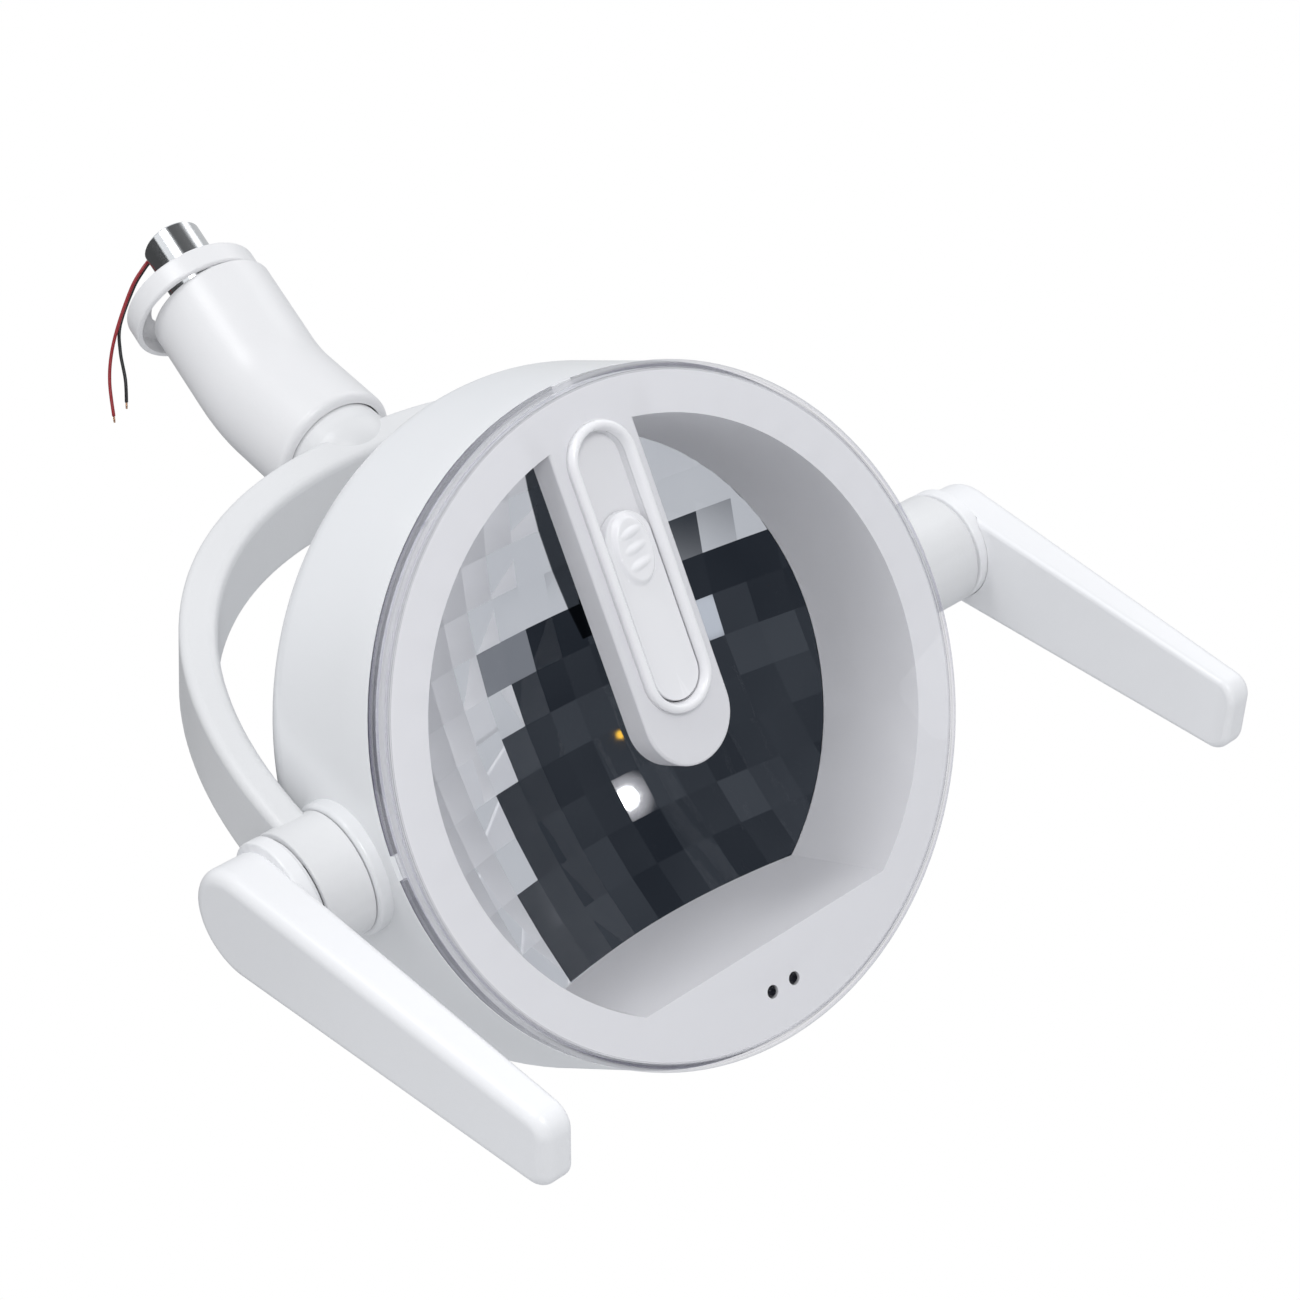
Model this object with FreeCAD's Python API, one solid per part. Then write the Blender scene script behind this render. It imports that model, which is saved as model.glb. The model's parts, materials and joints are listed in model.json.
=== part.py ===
import FreeCAD, Part
import math
import os
from FreeCAD import Placement, Rotation, Vector

# Dental operating light. Row frame: +Z runs up the mounting pin, +X is the head's tilt axis (the
# viewer's right when facing the lamp), and -Y is the side the lamp faces. The origin is on the pin's
# axis, level with the top face of the collar ring. All lengths are in mm.

# ---- frames -------------------------------------------------------------------------------------
ELBOW_DROP = 51.0            # collar top face down to the neck's elbow, along the pin
NECK_BEND = 17.0             # degrees between the pin and the yoke's swivel axis
TRUNNION_DROP = 195.7        # elbow to tilt axis, along the yoke's swivel axis
HEAD_TILT_REST = 34.0        # degrees the lamp looks below the horizontal at rest
TILT_AXIS_DEPTH = 34.0       # tilt axis behind the front rim plane
YOKE_SWIVEL_REST = -14.8     # degrees the yoke is turned on the neck at rest

# ---- mounting pin and collar --------------------------------------------------------------------
PIN_R = 11.0                 # free end
PIN_JOURNAL_R = 10.8         # length that turns in the neck
PIN_BORE_R = 6.5
PIN_FREE = 22.0              # pin standing out of the collar
PIN_STEP_Z = -8.4
PIN_BELOW = 40.0             # pin inside the neck
RUN_GAP = 0.05               # radial clearance of every running fit
COLLAR_R = 25.8
COLLAR_H = 8.5
COLLAR_TOP_T = 2.4
COLLAR_SKIRT_R = 23.8
COLLAR_HOLE_R = 17.0
COLLAR_SIDE = (-3.3, 2.3)    # the loose ring rests off the pin's axis
CLIP_T = 1.1
LEAD_R = 0.65
LEAD_SPACING = Vector(1.35, 0.75, 0.3)   # black lead beside the red one
LEAD_WAY_DEG = 108.4         # direction in which the leads leave the pin's rim

# ---- neck ---------------------------------------------------------------------------------------
NECK_R = 23.4
NECK_WALL = 2.8
NECK_BEND_R = 60.0
NECK_TOP_Z = -8.6
NECK_LOWER = 39.7            # elbow to the lower mouth
CORE_R = NECK_R - NECK_WALL - 0.1
BUSH_R = 13.0
CAVITY_R = 15.6
PIN_SHOULDER_Z = -36.1

# ---- yoke ---------------------------------------------------------------------------------------
YOKE_OUT_X = 127.6
YOKE_OUT_U = 149.6
YOKE_IN_X = 117.0
YOKE_IN_U = 136.0
YOKE_POWER = 0.86            # exponent of the band's superellipse
YOKE_HALF_DEPTH = 15.6
RING_R = 20.0
RING_IN_X = 115.4
RING_FACE_LEFT = 131.0
RING_FACE_RIGHT = 142.0
RING_BORE_R = 10.0
NUT_POCKET_R = 14.0
NUT_POCKET_DEPTH = 6.0
HUB_R = 19.4
HUB_TOP_U = 158.5
HUB_SHAFT_R = 9.0
HUB_SHAFT_BORE_R = 5.5
CHANNEL_W = 6.0
CHANNEL_FLOOR = 3.6
CHANNEL_END_DEG = 12.0       # the channel stops this far short of each ring, on the superellipse
YOKE_COVER_T = 2.5
CABLE_R = 1.7
THIN_CABLE_R = 1.5
LED_CABLE_R = 1.2

# ---- head ---------------------------------------------------------------------------------------
RIM_R = 110.0                # outside of the clear cover
COVER_T = 1.2
COVER_SKIRT_T = 2.2
COVER_SKIRT_D = 7.8
FASCIA_Y = 1.3
FASCIA_T = 3.6
SHELL_T = 2.6
SHELL_FRONT_Y = 7.9          # just behind the clear cover's skirt
SHELL_FRONT_R = 110.2
SHELL_BACK_R = 115.3
SHELL_SHOULDER_Y = 60.0
SHELL_BACK_Y = 90.0
SHELL_SHOULDER_R = 14.0
BACK_OPENING_R = 44.0
RABBET_R = 107.4             # step that the fascia and the clear cover sit on
SHELL_MOUTH_R = 104.8
FASCIA_SKIRT_R = 104.6
FASCIA_SCREW_Y = 6.6
OPENING_R = 93.7             # lamp mouth, at the fascia
OPENING_CHORD = 78.2         # straight lower edge of the mouth, below the centre
OPENING_DEPTH = 62.0
OPENING_R_DEEP = 90.6
OPENING_CHORD_DEEP = 74.4
MOUTH_WALL = 2.2
MIRROR_VERTEX_Y = 79.0
MIRROR_FOCUS = 67.0
MIRROR_T = 1.5
BOSS_R = 21.6
BOSS_FACE_X = 115.0
SENSOR_Z = 93.4
SENSOR_X = 4.7
SENSOR_R = 2.05

# ---- bar across the mouth, and the filter slider ------------------------------------------------
BAR_HALF = 16.7
BAR_TIP_Z = -15.7
BAR_DEPTH = 12.0
FRAME_HALF = 12.6
FRAME_LOW_Z = 1.8
FRAME_HIGH_Z = 96.4
FRAME_LIP = 3.4
FRAME_PROUD = 2.2
PLATE_HALF = 9.0
PLATE_LOW_Z = 5.4
PLATE_HIGH_Z = 67.6
SLIDE_TRAVEL = 22.0
STEM_LOW_Z = 15.0            # stem that joins the plate to the filter carrier
STEM_HIGH_Z = 23.0
STEM_HALF = 1.6
CARRIER_Y = 13.4
CARRIER_T = 1.0
GRIP_LOW_Z = 43.0
GRIP_HIGH_Z = 67.0
GRIP_HALF = 7.6

# ---- trunnions and handles ----------------------------------------------------------------------
SHAFT_R = 8.0
SHAFT_BORE_R = 4.5
SHAFT_END = 15.0             # shaft end beyond the yoke ring's face
HUB_GAP = 0.35               # yoke ring face to handle hub
HUB_GROOVE_W = 1.1
HUB_GROOVE_R = 18.2
HUB_FLANGE_R = 19.9
HUB_FLANGE_END = 6.4         # outer face of the handle hub, from the yoke ring's face
HANDLE_LEN = 128.3
HANDLE_DROOP = 30.0          # degrees the paddle points below the lamp's own forward axis
PADDLE_ROOT_R = 19.0
PADDLE_ROOT_IN = 5.4         # paddle's faces beyond the yoke ring's face, at the tilt axis
PADDLE_ROOT_OUT = 21.0
PADDLE_TIP_IN = 0.6          # and at the tip
PADDLE_TIP_OUT = 10.9
TILT_MIN = -50.0
TILT_MAX = 75.0

X = Vector(1, 0, 0)
Y = Vector(0, 1, 0)
Z = Vector(0, 0, 1)

elbow = Vector(0, 0, -ELBOW_DROP)
bend = math.radians(NECK_BEND)
swivel_dir = Vector(0, math.sin(bend), math.cos(bend))
trunnion = elbow - swivel_dir * TRUNNION_DROP
yoke_turn = Rotation(swivel_dir, YOKE_SWIVEL_REST)
yoke_frame_at = Placement(trunnion, yoke_turn * Rotation(X, -NECK_BEND))
head_turn = yoke_turn * Rotation(X, HEAD_TILT_REST)
head_frame_at = Placement(trunnion - head_turn.multVec(Y) * TILT_AXIS_DEPTH, head_turn)
tilt_centre = Vector(0, TILT_AXIS_DEPTH, 0)
LEAD_WAY = Rotation(Z, LEAD_WAY_DEG).multVec(X)
MID_X = (YOKE_OUT_X + YOKE_IN_X) / 2
MID_U = (YOKE_OUT_U + YOKE_IN_U) / 2
RING_WAY_R = 2.3
RING_WAY_END = Vector(-120.5, 0, 0)      # on the tilt axis, inside the left ring


# ---- helpers ------------------------------------------------------------------------------------
def rod(radius, start, end):
    """Solid cylinder between two points."""
    along = end - start
    return Part.makeCylinder(radius, along.Length, start, along)


def tube(outer, inner, start, end):
    return rod(outer, start, end).cut(rod(inner, start, end))


def ring_x(outer, inner, x0, x1, centre=Vector(0, 0, 0)):
    """Tube along X, between two X stations."""
    return tube(outer, inner, centre + X * x0, centre + X * x1)


def polygon(points):
    return Part.Face(Part.makePolygon(points + [points[0]]))


def spin_y(points, turn=360.0):
    """Solid of revolution about Y from (radius, y) points."""
    return polygon([Vector(r, y, 0) for r, y in points]).revolve(Vector(0, 0, 0), Y, turn)


def spin_z(points):
    """Solid of revolution about Z from (radius, z) points."""
    return polygon([Vector(r, 0, z) for r, z in points]).revolve(Vector(0, 0, 0), Z, 360.0)


def stadium(half, z_low, z_high, y0, y1):
    """Upright bar with full-round ends, from y0 to y1."""
    a = Vector(-half, y0, z_low + half)
    b = Vector(-half, y0, z_high - half)
    c = Vector(half, y0, z_high - half)
    d = Vector(half, y0, z_low + half)
    edges = [
        Part.LineSegment(a, b).toShape(),
        Part.Arc(b, Vector(0, y0, z_high), c).toShape(),
        Part.LineSegment(c, d).toShape(),
        Part.Arc(d, Vector(0, y0, z_low), a).toShape(),
    ]
    return Part.Face(Part.Wire(edges)).extrude(Y * (y1 - y0))


def box(x0, x1, y0, y1, z0, z1):
    return Part.makeBox(x1 - x0, y1 - y0, z1 - z0, Vector(x0, y0, z0))


def round_rod(radius, points):
    """Round cable or wire along straight runs joined by balls."""
    shape = rod(radius, points[0], points[1])
    for a, b in zip(points[1:], points[2:]):
        shape = shape.fuse([Part.makeSphere(radius, a), rod(radius, a, b)])
    return shape.removeSplitter()


def smooth_rod(radius, points):
    """Round wire along a smooth curve through the points."""
    curve = Part.BSplineCurve()
    curve.interpolate(points)
    spine = Part.Wire(curve.toShape())
    start = curve.value(curve.FirstParameter)
    tangent = curve.tangent(curve.FirstParameter)[0]
    mouth = Part.Wire(Part.makeCircle(radius, start, tangent))
    return spine.makePipeShell([mouth], True, False)


def cap_screw(radius, length, head_r, head_h, at, drive):
    """Screw whose head sits at the given point; drive is the way the shank goes."""
    drive = Vector(drive).normalize()
    head = rod(head_r, at - drive * head_h, at)
    socket = rod(head_r * 0.5, at - drive * head_h, at - drive * head_h * 0.45)
    return head.fuse(rod(radius, at, at + drive * length)).cut(socket)


def edges_where(shape, test):
    return [e for e in shape.Edges if test(e)]


def edges_at_y(shape, y):
    """Edges that lie in the plane at one Y station."""
    return edges_where(shape, lambda e: abs(e.BoundBox.YMin - y) < 0.01 and e.BoundBox.YLength < 0.01)


def mirrored(shape):
    return shape.mirror(Vector(0, 0, 0), X)


def head(shape):
    return shape.transformed(head_frame_at.toMatrix())


def yoke(shape):
    return shape.transformed(yoke_frame_at.toMatrix())


def group(shapes):
    return Part.makeCompound(shapes)


# ---- mounting pin, collar and leads -------------------------------------------------------------
def mount_pin():
    """Hollow steel pin: a chamfered free end, a journal below it and a groove for its retaining ring."""
    chamfer = 0.8
    groove_r = 10.0
    groove_z = PIN_SHOULDER_Z - 1.4
    pin = spin_z([
        (PIN_BORE_R, -PIN_BELOW), (PIN_JOURNAL_R, -PIN_BELOW), (PIN_JOURNAL_R, groove_z - CLIP_T - 0.1),
        (groove_r, groove_z - CLIP_T - 0.1), (groove_r, groove_z), (PIN_JOURNAL_R, groove_z),
        (PIN_JOURNAL_R, PIN_STEP_Z), (PIN_R, PIN_STEP_Z + 0.2),
        (PIN_R, PIN_FREE - chamfer), (PIN_R - chamfer, PIN_FREE),
        (PIN_BORE_R + chamfer, PIN_FREE), (PIN_BORE_R, PIN_FREE - chamfer),
    ])
    return pin


def collar_ring():
    """Loose cup-shaped trim ring that rests on the neck's flat top, round the pin."""
    ring = spin_z([
        (COLLAR_HOLE_R, -COLLAR_TOP_T), (COLLAR_HOLE_R, 0), (COLLAR_R, 0), (COLLAR_R, -COLLAR_H),
        (COLLAR_SKIRT_R, -COLLAR_H), (COLLAR_SKIRT_R, -COLLAR_TOP_T),
    ])
    rim = edges_where(ring, lambda e: abs(e.BoundBox.XMax - COLLAR_R) < 0.01
                      and e.BoundBox.ZLength < 0.01)
    ring = ring.makeFillet(0.9, rim)
    ring.translate(Vector(COLLAR_SIDE[0], COLLAR_SIDE[1], 0))
    return ring


def retaining_ring(inner, outer, z_top):
    """Open spring ring with a gap facing +Y."""
    ring = tube(outer, inner, Z * (z_top - CLIP_T), Z * z_top)
    gap = box(-2.5, 2.5, 0, outer + 1, z_top - CLIP_T - 1, z_top + 1)
    return ring.cut(gap)


def pin_thrust_washer():
    top = PIN_SHOULDER_Z - 0.1
    return tube(CAVITY_R - 0.8, PIN_JOURNAL_R + RUN_GAP, Z * (top - 1.2), Z * top)


def supply_lead(shift, drop):
    """Insulated wire: up the pin's bore, close over its rim, out past the collar and down."""
    hop = [(4.0, -30.0), (4.0, 0.0), (4.1, 14.0), (5.5, 21.6), (7.6, 23.3), (10.8, 23.8)]
    points = [LEAD_WAY * r + Z * z for r, z in hop]
    points += [Vector(-6.9, 14.0, 21.9), Vector(-11.0, 19.6, 18.6), Vector(-17.0, 29.8, 10.6)]
    return smooth_rod(LEAD_R, [p + shift for p in points] + drop)


# ---- neck ---------------------------------------------------------------------------------------
def neck_path(top_z, lower):
    """Centre line of the bent neck: down the pin's axis, round the elbow, down the swivel axis."""
    run = NECK_BEND_R * math.tan(bend / 2)
    arc_start = elbow + Z * run
    arc_end = elbow - swivel_dir * run
    centre = arc_start - Y * NECK_BEND_R
    half = bend / 2
    arc_mid = centre + Vector(0, math.cos(half), -math.sin(half)) * NECK_BEND_R
    return Part.Wire([
        Part.LineSegment(Z * top_z, arc_start).toShape(),
        Part.Arc(arc_start, arc_mid, arc_end).toShape(),
        Part.LineSegment(arc_end, elbow - swivel_dir * lower).toShape(),
    ])


def neck_sweep(radius, top_z, lower):
    mouth = Part.Wire(Part.makeCircle(radius, Z * top_z, Z))
    return neck_path(top_z, lower).makePipeShell([mouth], True, False)


def below_elbow(distance):
    return elbow - swivel_dir * distance


def neck_shell():
    """Smooth bent outer tube with a top flange and an inward lip at its lower mouth."""
    lip = 3.0
    flange = 2.5
    outer = neck_sweep(NECK_R, NECK_TOP_Z, NECK_LOWER)
    mouth_edge = edges_where(outer, lambda e: e.Closed and e.CenterOfMass.z < -70)
    top_edge = edges_where(outer, lambda e: e.Closed and e.CenterOfMass.z > NECK_TOP_Z - 1)
    outer = outer.makeFillet(2.6, mouth_edge).makeFillet(0.8, top_edge)
    hollow = neck_sweep(NECK_R - NECK_WALL, NECK_TOP_Z - flange, NECK_LOWER - lip)
    mouth = rod(HUB_R + 0.5, below_elbow(NECK_LOWER - lip - 1), below_elbow(NECK_LOWER + 1))
    top_hole = rod(BUSH_R + 1.6, Z * (NECK_TOP_Z - flange - 1), Z * 0)
    screw_hole = rod(3.4, Vector(0, 16, -22), Vector(0, 30, -22))
    return outer.cut([hollow, mouth, top_hole, screw_hole])


def neck_core():
    """Die-cast bent sleeve that carries the pin bushes above and the hub bush below."""
    top = NECK_TOP_Z - 2.5
    core = neck_sweep(CORE_R, top, 33.9)
    upper = rod(BUSH_R, Z * (PIN_SHOULDER_Z - 1), Z * 0)
    cavity = neck_sweep(CAVITY_R, PIN_SHOULDER_Z, 40.0)
    screw = rod(2.5, Vector(0, 12, -22), Vector(0, 30, -22))
    return core.cut([upper, cavity, screw])


def pin_bushes():
    """Two plain bushes, the upper one with a flange under the collar."""
    top = NECK_TOP_Z - 2.5
    bore = PIN_JOURNAL_R + RUN_GAP
    upper = spin_z([
        (bore, top - 7.5), (BUSH_R, top - 7.5), (BUSH_R, top), (BUSH_R + 1.4, top),
        (BUSH_R + 1.4, top + 1.6), (bore, top + 1.6),
    ])
    lower = tube(BUSH_R, bore, Z * PIN_SHOULDER_Z, Z * (PIN_SHOULDER_Z + 10.0))
    return group([upper, lower])


def swivel_lock_screw():
    """Set screw through the core's back wall; its nylon-faced tip stops short of the pin."""
    tip = PIN_JOURNAL_R + 0.2
    screw = rod(2.5, Vector(0, tip, -22), Vector(0, 20.4, -22))
    socket = rod(1.3, Vector(0, 17.6, -22), Vector(0, 21.0, -22))
    return screw.cut(socket)


def hub_bush():
    """Flanged bush that carries the yoke's hub shaft."""
    bore = HUB_SHAFT_R + RUN_GAP
    body = rod(CAVITY_R, below_elbow(12.0), below_elbow(37.0))
    return body.cut(rod(bore, below_elbow(11.0), below_elbow(38.0)))


def neck_cable():
    """Two-core cable inside the elbow, from the pin's bore to the hub shaft's bore."""
    turn = NECK_BEND_R * math.tan(bend / 2)
    return smooth_rod(CABLE_R, [
        Z * -33.0, elbow + Z * turn, elbow + Vector(0, -0.5, -0.2), below_elbow(turn), below_elbow(17.0),
    ])


# ---- yoke (built in x, n, u: u runs up the swivel axis, n is the yoke's back) --------------------
def superellipse(rx, ru, start_deg=0.0):
    """Half superellipse from +X over the top to -X, as one smooth edge."""
    count = 24
    points = []
    for i in range(count + 1):
        t = math.radians(start_deg + (180.0 - 2 * start_deg) * i / count)
        c = math.cos(t)
        x = rx * math.copysign(abs(c) ** YOKE_POWER, c) if abs(c) > 1e-9 else 0.0
        points.append(Vector(x, 0, ru * math.sin(t) ** YOKE_POWER if math.sin(t) > 1e-9 else 0.0))
    curve = Part.BSplineCurve()
    curve.interpolate(points)
    return curve.toShape(), points[0], points[-1]


def band(out_x, out_u, in_x, in_u, n0, n1, start_deg=0.0):
    """Arched band between two half superellipses, from n0 to n1."""
    outer, o0, o1 = superellipse(out_x, out_u, start_deg)
    inner, i0, i1 = superellipse(in_x, in_u, start_deg)
    wire = Part.Wire([
        outer, Part.LineSegment(o1, i1).toShape(), inner, Part.LineSegment(i0, o0).toShape(),
    ])
    face = Part.Face(wire)
    face.translate(Y * n0)
    return face.extrude(Y * (n1 - n0))


def channel_band(half_width, n0, n1):
    """Slice of the band's middle, as wide as the cable channel or its cover."""
    return band(MID_X + half_width, MID_U + half_width, MID_X - half_width, MID_U - half_width,
                n0, n1, CHANNEL_END_DEG)


def channel_point(degrees, n):
    """Point on the middle line of the left half of the cable channel."""
    t = math.radians(degrees)
    return Vector(-MID_X * abs(math.cos(t)) ** YOKE_POWER, n, MID_U * math.sin(t) ** YOKE_POWER)


def tilt_groove():
    """Arc groove in the left ring's outer face that the tilt stop pin runs in."""
    radius = 17.0
    half_width = 1.25
    depth = 3.4
    margin = 4.6
    start = stop_angle() + TILT_MIN - margin
    sweep = TILT_MAX - TILT_MIN + 2 * margin
    profile = polygon([
        Vector(-RING_FACE_LEFT + depth, 0, radius - half_width),
        Vector(-RING_FACE_LEFT + depth, 0, radius + half_width),
        Vector(-RING_FACE_LEFT - 1, 0, radius + half_width),
        Vector(-RING_FACE_LEFT - 1, 0, radius - half_width),
    ])
    profile.rotate(Vector(0, 0, 0), X, start)
    return profile.revolve(Vector(0, 0, 0), X, sweep)


def stop_angle():
    """Angle of the stop pin about X, from the yoke's u axis, at rest."""
    return 160.0


def yoke_frame():
    """One-piece casting: arched band, a round ring at each end and the swivel hub on top."""
    arch = band(YOKE_OUT_X, YOKE_OUT_U, YOKE_IN_X, YOKE_IN_U, -YOKE_HALF_DEPTH, YOKE_HALF_DEPTH)
    long_edges = edges_where(arch, lambda e: e.Length > 200)
    arch = arch.makeFillet(3.0, long_edges)
    body = arch.fuse([yoke_ring(1), yoke_ring(-1), hub_stub()])
    bore = rod(RING_BORE_R, X * -(RING_FACE_LEFT + 1), X * (RING_FACE_RIGHT + 1))
    shaft_hole = rod(HUB_SHAFT_R, Z * (YOKE_IN_U + 3), Z * (HUB_TOP_U + 1))
    wire_way = rod(HUB_SHAFT_BORE_R - 1.5, Z * (YOKE_IN_U + 2.5), Z * (HUB_TOP_U + 1))
    channel = channel_band(CHANNEL_W / 2, CHANNEL_FLOOR, YOKE_HALF_DEPTH + 1)
    hub_way = box(-3, 3, 0, YOKE_HALF_DEPTH + 6, YOKE_IN_U + 3.2, YOKE_OUT_U - 4.5)
    ring_way = rod(RING_WAY_R, ring_entry(), RING_WAY_END)
    inner_mouth = rod(RING_BORE_R, X * (RING_IN_X - 6), X * RING_IN_X)
    cuts = [nut_pocket(1), nut_pocket(-1), bore, shaft_hole, wire_way, channel,
            hub_way, ring_way, tilt_groove(), inner_mouth, mirrored(inner_mouth)]
    return body.cut(cuts)


def ring_face(side):
    """Outer face of a yoke ring, away from the lamp's middle plane."""
    return RING_FACE_RIGHT if side > 0 else RING_FACE_LEFT


def on_side(shape, side):
    return shape if side > 0 else mirrored(shape)


def yoke_ring(side):
    ring = rod(RING_R, X * RING_IN_X, X * ring_face(side))
    rim = edges_where(ring, lambda e: e.Closed and e.CenterOfMass.x > ring_face(side) - 1)
    return on_side(ring.makeFillet(0.6, rim), side)


def nut_pocket(side):
    face = ring_face(side)
    return on_side(rod(NUT_POCKET_R, X * (face - NUT_POCKET_DEPTH), X * (face + 1)), side)


def hub_stub():
    """Round hub that turns in the neck's mouth and swells down into the band."""
    profile = [
        Part.LineSegment(Vector(0, 0, YOKE_IN_U + 3), Vector(15.0, 0, YOKE_IN_U + 3)).toShape(),
        Part.Arc(Vector(15.0, 0, YOKE_IN_U + 3), Vector(18.2, 0, YOKE_IN_U + 8.2),
                 Vector(HUB_R, 0, YOKE_IN_U + 15.0)).toShape(),
        Part.LineSegment(Vector(HUB_R, 0, YOKE_IN_U + 15.0), Vector(HUB_R, 0, HUB_TOP_U)).toShape(),
        Part.LineSegment(Vector(HUB_R, 0, HUB_TOP_U), Vector(0, 0, HUB_TOP_U)).toShape(),
        Part.LineSegment(Vector(0, 0, HUB_TOP_U), Vector(0, 0, YOKE_IN_U + 3)).toShape(),
    ]
    return Part.Face(Part.Wire(profile)).revolve(Vector(0, 0, 0), Z, 360.0)


def ring_entry():
    """Where the cable leaves the channel for the left ring's bore."""
    return channel_point(166.5, 7.0)


def yoke_back_cover():
    """Push-in strip that closes the cable channel along the yoke's back."""
    return channel_band(CHANNEL_W / 2 - 0.1, YOKE_HALF_DEPTH - YOKE_COVER_T, YOKE_HALF_DEPTH)


def hub_shaft():
    """Hollow swivel shaft with a groove for its retaining ring at the upper end."""
    groove_u = TRUNNION_DROP - 8.6
    shaft = tube(HUB_SHAFT_R, HUB_SHAFT_BORE_R, Z * (YOKE_IN_U + 3), Z * (TRUNNION_DROP - 5.0))
    groove = tube(HUB_SHAFT_R + 1, HUB_SHAFT_R - 0.9, Z * (groove_u - 0.05), Z * (groove_u + CLIP_T + 0.05))
    wire_way = box(-3, 3, 0, HUB_SHAFT_R + 1, YOKE_IN_U + 2, YOKE_OUT_U - 4.4)
    return shaft.cut([groove, wire_way])


def hub_spring_washer():
    return tube(14.6, HUB_SHAFT_R, Z * (TRUNNION_DROP - 11.9), Z * (TRUNNION_DROP - 8.65))


def hub_circlip():
    return retaining_ring(HUB_SHAFT_R - 0.9, 12.5, TRUNNION_DROP - 8.6 + CLIP_T)


def trunnion_bushes():
    """Flangeless bush in each yoke ring; the left one is slotted for the cable."""
    right, left = [
        on_side(ring_x(RING_BORE_R, SHAFT_R + RUN_GAP, RING_IN_X, ring_face(side) - NUT_POCKET_DEPTH), side)
        for side in (1, -1)
    ]
    return group([left.cut(rod(RING_WAY_R, ring_entry(), RING_WAY_END)), right])


def yoke_cable():
    """Two-core cable: hub shaft, channel behind the band, left ring, left shaft's bore."""
    n = HUB_SHAFT_R + 2.0
    points = [Z * (TRUNNION_DROP - 22.0), Z * (MID_U - 0.3), Vector(0, n, MID_U - 0.3)]
    points += [channel_point(degrees, n) for degrees in range(97, 165, 7)]
    points += [ring_entry(), RING_WAY_END, Vector(-104.0, 0, 0)]
    return round_rod(THIN_CABLE_R, points)


# ---- head housing (built in x, y, z: y runs back from the front rim) -----------------------------
def shell_solid(inset):
    """Bowl-shaped solid: a flaring wall, a rounded shoulder and a shallow domed back."""
    front_edge = Vector(SHELL_FRONT_R - inset, SHELL_FRONT_Y, 0)
    corner = Vector(SHELL_BACK_R - inset, SHELL_SHOULDER_Y - inset * 0.7, 0)
    back_edge = Vector(BACK_OPENING_R + 8.0, SHELL_BACK_Y - inset, 0)
    edges = [
        Part.LineSegment(Vector(0, SHELL_FRONT_Y, 0), front_edge).toShape(),
        Part.LineSegment(front_edge, corner).toShape(),
        Part.Arc(corner, Vector(86.0, 79.3 - inset, 0), back_edge).toShape(),
        Part.LineSegment(back_edge, Vector(0, SHELL_BACK_Y - inset, 0)).toShape(),
        Part.LineSegment(Vector(0, SHELL_BACK_Y - inset, 0), Vector(0, SHELL_FRONT_Y, 0)).toShape(),
    ]
    solid = Part.Face(Part.Wire(edges)).revolve(Vector(0, 0, 0), Y, 360.0)
    shoulder = edges_where(solid, lambda e: abs(e.BoundBox.YMax - corner.y) < 0.01
                           and e.BoundBox.YLength < 0.01 and e.BoundBox.XLength > 150)
    return solid.makeFillet(SHELL_SHOULDER_R - inset, shoulder)


def housing_shell():
    """Main bowl with trunnion bosses, a rabbet for the clear cover and a round back opening."""
    inner_x = 101.0
    outer = shell_solid(0.0)
    boss = rod(BOSS_R, tilt_centre + X * 90, tilt_centre + X * BOSS_FACE_X)
    boss_rim = edges_where(boss, lambda e: e.Closed and e.CenterOfMass.x > 100)
    boss = boss.makeFillet(1.5, boss_rim)
    pad = rod(15.0, tilt_centre + X * inner_x, tilt_centre + X * (BOSS_FACE_X - 2))
    hollow = shell_solid(SHELL_T)
    rabbet = tube(RABBET_R, SHELL_MOUTH_R, Y * (FASCIA_Y + FASCIA_T + 0.1), Y * (SHELL_FRONT_Y + 1.0))
    lip = tube(SHELL_FRONT_R + 2.0, SHELL_MOUTH_R, Y * SHELL_FRONT_Y, Y * 10.5).common(outer)
    shaft_hole = rod(SHAFT_R, tilt_centre - X * 130, tilt_centre + X * 130)
    body = outer.fuse([boss, mirrored(boss)]).cut(hollow)
    body = body.cut(rod(SHELL_MOUTH_R, Y * 0, Y * 11))
    body = body.fuse([rabbet, lip, pad, mirrored(pad)])
    posts = [rod(3.4, at - Y * 9.5, at - Y * 1.0) for at in rear_screw_points()]
    body = body.fuse(posts)
    screws = [rod(1.5, at - Y * 9.6, at + Y * 4) for at in rear_screw_points()]
    screws += fascia_screw_way(1.5, 1.0)
    screws += [rod(1.25, at - X * 1, at + X * 7) for at in trunnion_screw_points(1)]
    screws += [rod(1.25, at + X * 1, at - X * 7) for at in trunnion_screw_points(-1)]
    opening = rod(BACK_OPENING_R, Y * (SHELL_BACK_Y - 5), Y * (SHELL_BACK_Y + 5))
    return body.cut([shaft_hole, opening] + screws)


def rear_screw_points():
    radius = BACK_OPENING_R + 4.0
    return [Vector(radius * math.cos(math.radians(a)), SHELL_BACK_Y, radius * math.sin(math.radians(a)))
            for a in (45, 135, 225, 315)]


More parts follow.
